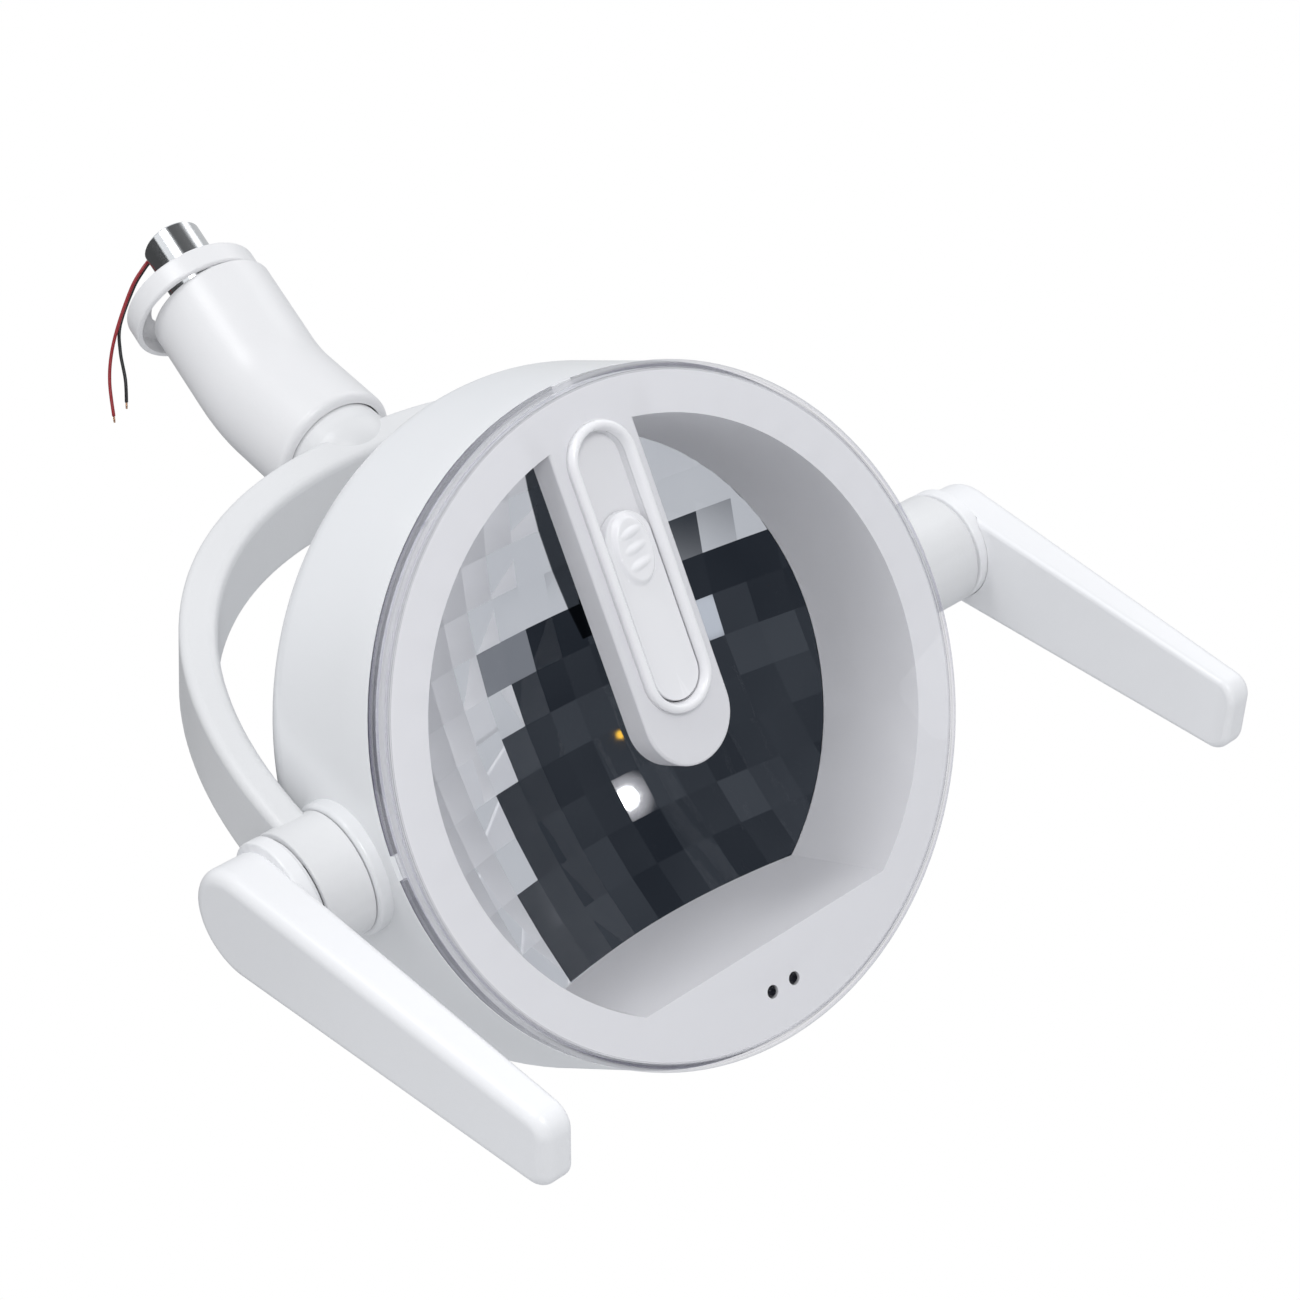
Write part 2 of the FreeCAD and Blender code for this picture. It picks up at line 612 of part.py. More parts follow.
def rear_cover():
    """Dished cover over the back opening, with a spigot and radial cooling slots."""
    cover = spin_y([
        (0, 88.0), (BACK_OPENING_R - 2.5, 88.0), (BACK_OPENING_R - 2.5, 86.5),
        (BACK_OPENING_R - 0.2, 86.5), (BACK_OPENING_R - 0.2, SHELL_BACK_Y), (52.0, SHELL_BACK_Y),
        (52.0, SHELL_BACK_Y + 1.2), (50.0, SHELL_BACK_Y + 2.6), (30.0, SHELL_BACK_Y + 3.6),
        (0, SHELL_BACK_Y + 4.0),
    ])
    slot = box(-1.5, 1.5, SHELL_BACK_Y - 4, SHELL_BACK_Y + 6, 14, 33)
    slots = []
    for i in range(16):
        one = slot.copy()
        one.rotate(Vector(0, 0, 0), Y, 22.5 * i)
        slots.append(one)
    holes = [rod(1.7, at - Y * 1, at + Y * 5) for at in rear_screw_points()]
    seats = [rod(3.0, at + Y * 1.4, at + Y * 5) for at in rear_screw_points()]
    return cover.cut(slots + holes + seats)


def rear_cover_screws():
    return group([cap_screw(1.5, 8.0, 2.8, 1.6, at + Y * 1.4, -Y) for at in rear_screw_points()])


def mouth_wire(radius, chord, y):
    """Round mouth cut off by a straight lower edge."""
    half = math.sqrt(radius ** 2 - chord ** 2)
    left = Vector(-half, y, -chord)
    right = Vector(half, y, -chord)
    return Part.Wire([
        Part.LineSegment(left, right).toShape(),
        Part.Arc(right, Vector(0, y, radius), left).toShape(),
    ])


def mouth_solid(grow, y0, y1):
    """Tapering D-shaped prism of the lamp mouth, grown outwards by a wall."""
    slope_r = (OPENING_R_DEEP - OPENING_R) / OPENING_DEPTH
    slope_c = (OPENING_CHORD_DEEP - OPENING_CHORD) / OPENING_DEPTH
    wires = [mouth_wire(OPENING_R + slope_r * y + grow, OPENING_CHORD + slope_c * y + grow, y)
             for y in (y0, y1)]
    return Part.makeLoft(wires, True, True)


def mirror_y(r):
    """Paraboloid: depth of the reflecting surface at a radius."""
    return MIRROR_VERTEX_Y - r * r / (4 * MIRROR_FOCUS)


def mirror_curve(offset, r_end):
    curve = Part.BSplineCurve()
    curve.interpolate([Vector(r_end * i / 8, mirror_y(r_end * i / 8) + offset, 0) for i in range(9)])
    return curve.toShape()


def in_front_of_mirror(offset):
    """Everything in front of a surface parallel to the mirror."""
    r_end = 99.0
    edges = [
        mirror_curve(offset, r_end),
        Part.LineSegment(Vector(r_end, mirror_y(r_end) + offset, 0), Vector(r_end, -20, 0)).toShape(),
        Part.LineSegment(Vector(r_end, -20, 0), Vector(0, -20, 0)).toShape(),
        Part.LineSegment(Vector(0, -20, 0), Vector(0, mirror_y(0) + offset, 0)).toShape(),
    ]
    return Part.Face(Part.Wire(edges)).revolve(Vector(0, 0, 0), Y, 360.0)


def front_fascia():
    """Front ring, deep D-shaped mouth wall and hollow bar, moulded as one piece."""
    plate_back = FASCIA_Y + FASCIA_T
    plate = rod(RABBET_R, Y * FASCIA_Y, Y * plate_back)
    wall = mouth_solid(MOUTH_WALL, plate_back - 0.5, OPENING_DEPTH).common(in_front_of_mirror(-0.2))
    surround = plate.fuse(wall).cut(mouth_solid(0, FASCIA_Y - 1, OPENING_DEPTH + 1))
    bar = stadium(BAR_HALF, BAR_TIP_Z, 130, FASCIA_Y, BAR_DEPTH)
    bar = bar.makeFillet(1.0, edges_at_y(bar, FASCIA_Y))
    bar = bar.common(rod(OPENING_R + 1.5, Y * 0, Y * 20))
    hollow = stadium(BAR_HALF - 2.2, BAR_TIP_Z + 2.2, 91.0, plate_back, BAR_DEPTH + 1)
    pocket = stadium(FRAME_HALF - FRAME_LIP, FRAME_LOW_Z + FRAME_LIP, FRAME_HIGH_Z - FRAME_LIP, 0, 4.0)
    stem_slot = stem_way(STEM_HALF + 0.4, 0, plate_back + 1)
    body = surround.fuse(bar).cut([hollow, pocket, stem_slot])
    sensors = [rod(SENSOR_R + 0.15, Vector(s * SENSOR_X, 0, -SENSOR_Z), Vector(s * SENSOR_X, 6, -SENSOR_Z))
               for s in (-1, 1)]
    skirt = tube(FASCIA_SKIRT_R, FASCIA_SKIRT_R - 2.4, Y * (plate_back - 0.5), Y * (FASCIA_SCREW_Y + 3.0))
    wall_points = led_cable_way()
    cable_hole = rod(LED_CABLE_R + 0.4, wall_points[0], wall_points[1])
    return body.fuse(skirt).cut(sensors + fascia_screw_way(1.0, 1.0) + [cable_hole])


def stem_way(half_width, y0, y1):
    """Slot that the slider's stem travels in."""
    return box(-half_width, half_width, y0, y1, STEM_LOW_Z - 1, STEM_HIGH_Z + SLIDE_TRAVEL + 1)


def fascia_screw_ways():
    """Outward directions of the four radial screws hidden under the clear cover's skirt."""
    return [Vector(math.cos(math.radians(a)), 0, math.sin(math.radians(a))) for a in (55, 125, 205, 335)]


def fascia_screw_way(head_r, shank_r):
    """Stepped radial drillings for the fascia's screws."""
    at = Y * FASCIA_SCREW_Y
    heads = [rod(head_r, at + w * 106.2, at + w * 112.0) for w in fascia_screw_ways()]
    shanks = [rod(shank_r, at + w * 100.0, at + w * 112.0) for w in fascia_screw_ways()]
    return heads + shanks


def fascia_screws():
    at = Y * FASCIA_SCREW_Y
    return group([cap_screw(1.0, 3.9, 1.45, 1.1, at + w * 106.2, w * -1) for w in fascia_screw_ways()])


def clear_cover():
    """Clear front disc with a rim skirt, a cut-out round the slider frame and clip lugs."""
    inner_r = RIM_R - COVER_SKIRT_T
    cover = spin_y([
        (0, 0), (RIM_R - 1.2, 0), (RIM_R, 1.2), (RIM_R, COVER_SKIRT_D), (inner_r, COVER_SKIRT_D),
        (inner_r, COVER_T), (0, COVER_T),
    ])
    cutout = stadium(FRAME_HALF + 0.5, FRAME_LOW_Z - 0.5, FRAME_HIGH_Z + 0.5, -1, 3)
    notches = []
    for angle in (0, 90, 180, 270):
        notch = box(-4, 4, 5.4, COVER_SKIRT_D + 1, 105, 115)
        notch.rotate(Vector(0, 0, 0), Y, angle)
        notches.append(notch)
    return cover.cut([cutout] + notches)


def slide_frame():
    """Raised stadium bezel round the slider's track."""
    proud = stadium(FRAME_HALF, FRAME_LOW_Z, FRAME_HIGH_Z, -FRAME_PROUD, FASCIA_Y)
    proud = proud.makeFillet(1.5, edges_at_y(proud, -FRAME_PROUD))
    low = FRAME_LOW_Z + FRAME_LIP
    high = FRAME_HIGH_Z - FRAME_LIP
    track = stadium(FRAME_HALF - FRAME_LIP, low, high, -FRAME_PROUD - 1, FASCIA_Y + 1)
    return proud.cut(track)


def slider_plate():
    """Sliding plate with a raised oval thumb grip and three ribs."""
    top_y = 0.4
    plate = stadium(PLATE_HALF, PLATE_LOW_Z, PLATE_HIGH_Z, top_y, 3.6)
    grip_y = -1.5
    plate = plate.makeFillet(0.5, edges_at_y(plate, top_y))
    grip = stadium(GRIP_HALF, GRIP_LOW_Z, GRIP_HIGH_Z, grip_y, top_y + 0.1)
    grip = grip.makeFillet(1.2, edges_at_y(grip, grip_y))
    ribs = []
    for z in (49.5, 55.0, 60.5):
        rib = Part.makeSphere(6.0, Vector(0, 4.1, z)).common(box(-6, 6, -3, 0, z - 0.9, z + 0.9))
        ribs.append(rib)
    stem = box(-STEM_HALF, STEM_HALF, 3.5, CARRIER_Y, STEM_LOW_Z, STEM_HIGH_Z)
    return plate.fuse([grip, stem] + ribs)


def filter_carrier():
    """Thin blade behind the bar that the slider's stem pulls up and down."""
    blade = box(-8.5, 8.5, CARRIER_Y, CARRIER_Y + CARRIER_T, -9.5, 25.0)
    window = box(-6.5, 6.5, CARRIER_Y - 1, CARRIER_Y + 2, -7.5, 7.5)
    return blade.cut(window)


def amber_filter():
    """Amber plate that keeps the light from curing filling material."""
    front = CARRIER_Y + CARRIER_T
    return box(-7.5, 7.5, front, front + 1.2, -8.5, 8.5)


def led_heatsink():
    """Aluminium strip that closes the bar's back and carries the LED board."""
    strip = stadium(BAR_HALF - 2.4, BAR_TIP_Z + 2.4, 90.6, 7.0, 11.2)
    return strip.cut(stem_way(STEM_HALF + 0.6, 6, 14))


def led_board():
    board = rod(9.0, Y * 11.2, Y * 12.0)
    return board.cut(box(-10, 10, 11, 13, 8.6, 12))


def led_chip():
    """Single large emitter with its phosphor dome, facing the reflector."""
    base = box(-3.5, 3.5, 12.0, 12.7, -3.5, 3.5)
    dome = Part.makeSphere(3.2, Vector(0, 10.1, 0)).common(box(-4, 4, 12.5, 14, -4, 4))
    return base.fuse(dome)


def detent_spring():
    """Leaf spring beside the stem slot that holds the slider at each end."""
    return box(3.0, 3.4, 5.0, 7.0, 18.0, 44.0)


def reflector():
    """Thin parabolic mirror trimmed to the lamp's mouth."""
    skin = in_front_of_mirror(MIRROR_T).cut(in_front_of_mirror(0.0))
    return skin.common(mouth_solid(MOUTH_WALL - 0.2, 20.0, 90.0))


def reflector_clips():
    """Spring clips that hold the reflector against the mouth wall."""
    clips = []
    for angle in (30, 80, 100, 150):
        foot_y = mirror_y(92.0)
        clip = box(-4, 4, foot_y - 12, foot_y + 9.0, 95.0, 95.6)
        clip = clip.fuse(box(-4, 4, foot_y + 8.4, foot_y + 9.0, 86.0, 95.6))
        clip.rotate(Vector(0, 0, 0), Y, angle - 90)
        clips.append(clip)
    return group(clips)


def sensor(side):
    """Infrared window with a domed nose."""
    x = side * SENSOR_X
    body = rod(SENSOR_R - 0.05, Vector(x, 2.4, -SENSOR_Z), Vector(x, 9.0, -SENSOR_Z))
    dome = Part.makeSphere(SENSOR_R - 0.05, Vector(x, 3.0, -SENSOR_Z))
    nose = dome.common(box(x - 3, x + 3, 1.4, 3.0, -SENSOR_Z - 3, -SENSOR_Z + 3))
    return body.fuse(nose)


def sensor_board():
    return box(-15, 15, 9.0, 10.6, -99.5, -87.5)


def driver_board():
    """Constant-current driver in the space under the mouth's straight edge."""
    board = box(-38, 38, 16.0, 46.0, -93.6, -92.0)
    choke = rod(6.0, Vector(-20, 30, -92.0), Vector(-20, 30, -84.0))
    block = box(4, 24, 22, 36, -92.0, -85.0)
    return board.fuse([choke, block])


def head_cable():
    """Cable from the left trunnion down to the driver board."""
    run = [(-101.5, 0.0), (-96.8, 0.0), (-96.8, -12.0), (-87.0, -47.0), (-70.0, -71.0), (-52.0, -86.0),
           (-39.8, -90.3), (-36.0, -90.3)]
    return round_rod(THIN_CABLE_R, [Vector(x, TILT_AXIS_DEPTH, z) for x, z in run])


def led_cable_way():
    """Straight run of the LED's cable through the mouth wall, above the bar."""
    return [Vector(7.05, 17.0, 100.75), Vector(11.5, 13.6, 88.0)]


def led_cable():
    """Cable from the driver board round the right side, through the mouth wall and down the bar."""
    radius = 101.0
    y = 17.0
    points = [Vector(36.0, y + 1, -90.3), Vector(44.0, y, -89.3)]
    for degrees in (-60, -40, -20, 0, 20, 40, 60, 75):
        a = math.radians(degrees)
        points.append(Vector(radius * math.cos(a), y, radius * math.sin(a)))
    points += led_cable_way()
    points += [Vector(11.5, 12.6, 76.0), Vector(11.5, 12.5, 0.0), Vector(9.2, 12.5, 0.0)]
    return round_rod(LED_CABLE_R, points)


# ---- trunnions and handles ----------------------------------------------------------------------
def trunnion_shaft(side):
    """Hollow shaft with an inner flange and, on the left, an arc slot for the cable."""
    flange = ring_x(14.0, SHAFT_BORE_R, 98.6, 101.0, tilt_centre)
    body = ring_x(SHAFT_R, SHAFT_BORE_R, 98.6, ring_face(side) + SHAFT_END, tilt_centre)
    holes = [rod(1.6, at - X * 3, at + X * 3) for at in trunnion_screw_points(1)]
    shaft = on_side(flange.fuse(body).cut(holes), side)
    if side > 0:
        return shaft
    entry = ring_entry()
    direction = NECK_BEND + HEAD_TILT_REST + math.degrees(math.atan2(entry.y, entry.z))
    x0 = RING_WAY_END.x - RING_WAY_R
    x1 = RING_WAY_END.x + RING_WAY_R
    slot = polygon([Vector(x0, 0, 0), Vector(x1, 0, 0), Vector(x1, 0, 12), Vector(x0, 0, 12)])
    margin = 24.0
    slot.rotate(Vector(0, 0, 0), X, -direction - TILT_MAX - margin)
    slot = slot.revolve(Vector(0, 0, 0), X, TILT_MAX - TILT_MIN + 2 * margin)
    slot.translate(tilt_centre)
    return shaft.cut(slot)


def trunnion_screw_points(side):
    pitch_r = 11.2
    return [tilt_centre + Vector(side * 101.0, pitch_r * math.cos(a), pitch_r * math.sin(a))
            for a in (math.radians(90), math.radians(210), math.radians(330))]


def trunnion_screws():
    right = [cap_screw(1.25, 6.0, 2.2, 1.2, at - X * 2.4, X) for at in trunnion_screw_points(1)]
    left = [cap_screw(1.25, 6.0, 2.2, 1.2, at + X * 2.4, -X) for at in trunnion_screw_points(-1)]
    return group(right + left)


def friction_washers():
    shapes = []
    for side in (1, -1):
        seat = ring_face(side) - NUT_POCKET_DEPTH
        shapes.append(on_side(ring_x(13.4, SHAFT_R, seat + RUN_GAP, seat + 1.5, tilt_centre), side))
    return group(shapes)


def trunnion_nuts():
    """Hexagon lock nut on each shaft, clamping the friction washer."""
    across = 11.6
    nuts = []
    for side in (1, -1):
        x0 = ring_face(side) - NUT_POCKET_DEPTH + 1.5
        corners = [tilt_centre + Vector(x0, across * math.cos(math.radians(60 * i)),
                                        across * math.sin(math.radians(60 * i))) for i in range(6)]
        nut = polygon(corners).extrude(X * 3.8)
        nut = nut.cut(rod(SHAFT_R, tilt_centre + X * (x0 - 1), tilt_centre + X * (x0 + 6)))
        nuts.append(on_side(nut, side))
    return group(nuts)


def handle_hub(side):
    """Round flanged hub pressed on the shaft between the yoke ring and the handle."""
    face = ring_face(side)
    groove_end = face + HUB_GAP + HUB_GROOVE_W
    groove = ring_x(HUB_GROOVE_R, SHAFT_R, face + HUB_GAP, groove_end, tilt_centre)
    flange = ring_x(HUB_FLANGE_R, SHAFT_R, groove_end, face + HUB_FLANGE_END, tilt_centre)
    rim = edges_where(flange, lambda e: e.Closed and e.BoundBox.ZLength > 2 * HUB_FLANGE_R - 1)
    hub = on_side(groove.fuse(flange.makeFillet(0.7, rim)), side)
    return hub if side > 0 else hub.cut(stop_pin_rod())


def stop_pin_rod():
    """Stop pin, on the head side of the left yoke ring's arc groove."""
    turn = math.radians(stop_angle() - NECK_BEND - HEAD_TILT_REST)
    offset = Vector(0, -math.sin(turn), math.cos(turn)) * 17.0
    start = tilt_centre + offset - X * (RING_FACE_LEFT - 2.9)
    return rod(1.1, start, start - X * 7.4)


def handle_outline():
    """Side outline of a paddle in (along, across): a round root, straight sides and a blunt tip."""
    root_r = PADDLE_ROOT_R
    root_shift = 2.0
    tip_top = -12.2
    tip_low = 14.8
    tip_r = 7.0
    top_on = tangent_point(root_shift, root_r, HANDLE_LEN - tip_r, tip_top + tip_r, tip_r, -1)
    low_on = tangent_point(root_shift, root_r, HANDLE_LEN - tip_r, tip_low - tip_r, tip_r, 1)
    points = [top_on[0], top_on[1], (HANDLE_LEN, tip_top + tip_r), (HANDLE_LEN, tip_low - tip_r),
              low_on[1], low_on[0]]
    v = [Vector(0, a, c) for a, c in points]
    diagonal = tip_r * math.sqrt(0.5)
    top_mid = Vector(0, HANDLE_LEN - tip_r + diagonal, tip_top + tip_r - diagonal)
    low_mid = Vector(0, HANDLE_LEN - tip_r + diagonal, tip_low - tip_r + diagonal)
    return Part.Wire([
        Part.LineSegment(v[0], v[1]).toShape(),
        Part.Arc(v[1], top_mid, v[2]).toShape(),
        Part.LineSegment(v[2], v[3]).toShape(),
        Part.Arc(v[3], low_mid, v[4]).toShape(),
        Part.LineSegment(v[4], v[5]).toShape(),
        Part.Arc(v[5], Vector(0, -root_r, root_shift), v[0]).toShape(),
    ])


def tangent_point(c0, r0, a1, c1, r1, side):
    """Ends of the straight side that touches the root circle and a tip corner circle."""
    distance = math.hypot(a1, c1 - c0)
    lean = math.atan2(c1 - c0, a1)
    angle = lean + side * math.acos((r0 - r1) / distance)
    direction = (math.cos(angle), math.sin(angle))
    return ((r0 * direction[0], c0 + r0 * direction[1]), (a1 + r1 * direction[0], c1 + r1 * direction[1]))


def paddle_wedge():
    """Space between the paddle's two faces, which lean towards the lamp and close up to the tip."""
    def station(along, root, tip):
        return root + (tip - root) * along / HANDLE_LEN
    back = -40.0
    front = HANDLE_LEN + 40.0
    corners = [(station(back, PADDLE_ROOT_IN, PADDLE_TIP_IN), back),
               (station(back, PADDLE_ROOT_OUT, PADDLE_TIP_OUT), back),
               (station(front, PADDLE_ROOT_OUT, PADDLE_TIP_OUT), front),
               (station(front, PADDLE_ROOT_IN, PADDLE_TIP_IN), front)]
    return polygon([Vector(x, along, -40) for x, along in corners]).extrude(Z * 80)


def handle(side):
    """Soft-edged paddle that tapers to its tip, with a blind socket for the shaft."""
    face = ring_face(side)
    paddle = Part.Face(handle_outline()).extrude(X * 60)
    paddle.translate(X * -20)
    paddle = paddle.common(paddle_wedge())
    paddle = paddle.makeFillet(4.2, face_edges(paddle, PADDLE_ROOT_OUT, PADDLE_TIP_OUT))
    paddle = paddle.makeFillet(2.2, face_edges(paddle, PADDLE_ROOT_IN, PADDLE_TIP_IN))
    paddle.rotate(Vector(0, 0, 0), X, 180.0 + HANDLE_DROOP)
    paddle.translate(tilt_centre + X * face)
    socket = rod(SHAFT_R, tilt_centre + X * face, tilt_centre + X * (face + SHAFT_END))
    seat = rod(HUB_FLANGE_R + 0.2, tilt_centre + X * face, tilt_centre + X * (face + HUB_FLANGE_END))
    return on_side(paddle.cut([socket, seat]), side)


def face_edges(paddle, root, tip):
    """Edges that lie in one of the paddle's two leaning faces."""
    slope = (tip - root) / HANDLE_LEN
    return edges_where(paddle, lambda e: all(abs(v.X - root - slope * v.Y) < 0.01 for v in e.Vertexes)
                       and abs(e.CenterOfMass.x - root - slope * e.CenterOfMass.y) < 0.01)


RED_DROP = [Vector(-20.9, 37.6, 3.4), Vector(-23.2, 44.0, -4.2), Vector(-24.4, 50.6, -14.3)]
BLACK_DROP = [Vector(-18.2, 35.4, 2.8), Vector(-19.4, 40.0, -6.6), Vector(-20.6, 44.9, -13.2)]

PARTS = {
    "mount_pin": mount_pin(),
    "collar_ring": collar_ring(),
    "pin_circlip": retaining_ring(10.0, 13.5, PIN_SHOULDER_Z - 1.4),
    "pin_thrust_washer": pin_thrust_washer(),
    "supply_lead_red": supply_lead(Vector(0, 0, 0), RED_DROP),
    "supply_lead_black": supply_lead(LEAD_SPACING, BLACK_DROP),
    "neck_shell": neck_shell(),
    "neck_core": neck_core(),
    "pin_bushes": pin_bushes(),
    "swivel_lock_screw": swivel_lock_screw(),
    "hub_bush": hub_bush(),
    "neck_cable": neck_cable(),
    "yoke_frame": yoke(yoke_frame()),
    "yoke_back_cover": yoke(yoke_back_cover()),
    "hub_shaft": yoke(hub_shaft()),
    "hub_spring_washer": yoke(hub_spring_washer()),
    "hub_circlip": yoke(hub_circlip()),
    "trunnion_bushes": yoke(trunnion_bushes()),
    "yoke_cable": yoke(yoke_cable()),
    "housing_shell": head(housing_shell()),
    "rear_cover": head(rear_cover()),
    "rear_cover_screws": head(rear_cover_screws()),
    "front_fascia": head(front_fascia()),
    "fascia_screws": head(fascia_screws()),
    "clear_cover": head(clear_cover()),
    "slide_frame": head(slide_frame()),
    "slider_plate": head(slider_plate()),
    "filter_carrier": head(filter_carrier()),
    "amber_filter": head(amber_filter()),
    "detent_spring": head(detent_spring()),
    "led_heatsink": head(led_heatsink()),
    "led_board": head(led_board()),
    "led_chip": head(led_chip()),
    "reflector": head(reflector()),
    "reflector_clips": head(reflector_clips()),
    "sensor_emitter": head(sensor(-1)),
    "sensor_receiver": head(sensor(1)),
    "sensor_board": head(sensor_board()),
    "driver_board": head(driver_board()),
    "head_cable": head(head_cable()),
    "led_cable": head(led_cable()),
    "trunnion_shaft_left": head(trunnion_shaft(-1)),
    "trunnion_shaft_right": head(trunnion_shaft(1)),
    "trunnion_screws": head(trunnion_screws()),
    "friction_washers": head(friction_washers()),
    "trunnion_nuts": head(trunnion_nuts()),
    "handle_hub_left": head(handle_hub(-1)),
    "handle_hub_right": head(handle_hub(1)),
    "tilt_stop_pin": head(stop_pin_rod()),
    "handle_left": head(handle(-1)),
    "handle_right": head(handle(1)),
}

os.makedirs("parts", exist_ok=True)
for name, shape in PARTS.items():
    shape.exportStep(f"parts/{name}.step")
    print(name, "solids", len(shape.Solids), "valid", shape.isValid(), "volume", round(shape.Volume, 1))
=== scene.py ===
import json
import math
import random
import bpy
import bmesh
from mathutils import Matrix, Vector

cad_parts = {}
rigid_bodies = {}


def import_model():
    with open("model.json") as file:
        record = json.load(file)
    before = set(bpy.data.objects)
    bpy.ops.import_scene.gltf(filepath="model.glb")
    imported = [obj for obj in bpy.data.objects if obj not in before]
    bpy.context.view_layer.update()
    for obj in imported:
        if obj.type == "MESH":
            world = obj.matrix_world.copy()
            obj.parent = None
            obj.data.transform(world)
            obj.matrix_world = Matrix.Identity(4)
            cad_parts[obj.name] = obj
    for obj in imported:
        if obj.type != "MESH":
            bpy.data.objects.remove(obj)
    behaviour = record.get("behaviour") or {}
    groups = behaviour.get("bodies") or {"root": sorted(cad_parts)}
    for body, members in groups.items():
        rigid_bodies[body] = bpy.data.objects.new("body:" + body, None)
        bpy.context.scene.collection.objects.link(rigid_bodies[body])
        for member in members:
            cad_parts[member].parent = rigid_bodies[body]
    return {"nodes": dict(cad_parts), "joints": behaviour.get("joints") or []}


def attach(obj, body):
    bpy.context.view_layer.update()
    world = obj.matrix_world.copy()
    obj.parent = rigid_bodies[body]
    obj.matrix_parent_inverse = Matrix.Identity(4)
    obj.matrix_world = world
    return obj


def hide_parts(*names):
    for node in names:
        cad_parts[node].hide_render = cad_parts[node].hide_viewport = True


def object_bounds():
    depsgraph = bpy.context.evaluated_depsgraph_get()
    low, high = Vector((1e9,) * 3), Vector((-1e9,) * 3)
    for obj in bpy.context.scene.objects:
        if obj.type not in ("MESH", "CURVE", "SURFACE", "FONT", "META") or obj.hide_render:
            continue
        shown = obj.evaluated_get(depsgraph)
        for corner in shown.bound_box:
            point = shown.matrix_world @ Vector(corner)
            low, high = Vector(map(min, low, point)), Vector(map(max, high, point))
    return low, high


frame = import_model()
CAD_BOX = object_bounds()
NODES = frame["nodes"]
JOINTS = {j["name"]: j for j in frame["joints"]}
MM = 0.001

# ---- frames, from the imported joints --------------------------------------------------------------
TILT = JOINTS["head_tilt"]
SLIDE = JOINTS["filter_slide"]
HX = Vector(TILT["axis"]).normalized()
HZ = Vector(SLIDE["axis"]).normalized()
HY = HZ.cross(HX).normalized()
TILT_AXIS_DEPTH = 34.0 * MM
HEAD_ORIGIN = Vector(TILT["pos_m"]) - HY * TILT_AXIS_DEPTH
HEAD = Matrix((
    (HX.x, HY.x, HZ.x, HEAD_ORIGIN.x),
    (HX.y, HY.y, HZ.y, HEAD_ORIGIN.y),
    (HX.z, HY.z, HZ.z, HEAD_ORIGIN.z),
    (0, 0, 0, 1),
))


def in_head(x, y, z):
    """A point given in the head's own millimetres: x across, y back from the rim, z up the bar."""
    return HEAD @ Vector((x * MM, y * MM, z * MM))


# ---- node helpers --------------------------------------------------------------------------------
def new_material(name):
    """Empty node material and its node tree."""
    material = bpy.data.materials.new(name)
    material.use_nodes = True
    tree = material.node_tree
    tree.nodes.clear()
    return material, tree


def add(tree, kind, **values):
    """New node; each keyword sets the input or the property of that name."""
    node = tree.nodes.new(kind)
    for key, value in values.items():
        if key in node.inputs:
            node.inputs[key].default_value = value
        else:
            setattr(node, key, value)
    return node


def noise(tree, scale, detail=3.0, roughness=0.5):
    """Noise texture fixed to the piece."""
    coords = tree.nodes.get("coords") or add(tree, "ShaderNodeTexCoord", name="coords")
    coords.name = "coords"
    node = add(tree, "ShaderNodeTexNoise")
    node.inputs["Scale"].default_value = scale
    node.inputs["Detail"].default_value = detail
    node.inputs["Roughness"].default_value = roughness
    tree.links.new(coords.outputs["Object"], node.inputs["Vector"])
    return node


def ramp(tree, source, low, high, colour_low, colour_high):
    """Blend between two colours as the source goes from low to high."""
    node = add(tree, "ShaderNodeValToRGB")
    node.color_ramp.elements[0].position = low
    node.color_ramp.elements[1].position = high
    node.color_ramp.elements[0].color = (*colour_low, 1.0)
    node.color_ramp.elements[1].color = (*colour_high, 1.0)
    tree.links.new(source, node.inputs["Fac"])
    return node


def span(tree, source, low, high):
    """Maps a 0 to 1 source to a range."""
    node = add(tree, "ShaderNodeMapRange")
    node.inputs["To Min"].default_value = low
    node.inputs["To Max"].default_value = high
    tree.links.new(source, node.inputs["Value"])
    return node


def shade(colour, factor):
    """Colour made darker or lighter, kept within 1."""
    return tuple(min(1.0, c * factor) for c in colour)


def surface(tree, colour_socket, rough_socket, bump_socket, bump, metallic=0.0, coat=0.0):
    """Shader with its output, from colour, roughness and bump sources."""
    body = add(tree, "ShaderNodeBsdfPrincipled")
    out = add(tree, "ShaderNodeOutputMaterial")
    body.inputs["Metallic"].default_value = metallic
    body.inputs["Coat Weight"].default_value = coat
    body.inputs["Coat Roughness"].default_value = 0.08
    tree.links.new(colour_socket, body.inputs["Base Color"])
    tree.links.new(rough_socket, body.inputs["Roughness"])
    if bump > 0:
        node = add(tree, "ShaderNodeBump")
        node.inputs["Strength"].default_value = bump
        node.inputs["Distance"].default_value = 0.0004
        tree.links.new(bump_socket, node.inputs["Height"])
        tree.links.new(node.outputs["Normal"], body.inputs["Normal"])
    tree.links.new(body.outputs["BSDF"], out.inputs["Surface"])
    return body


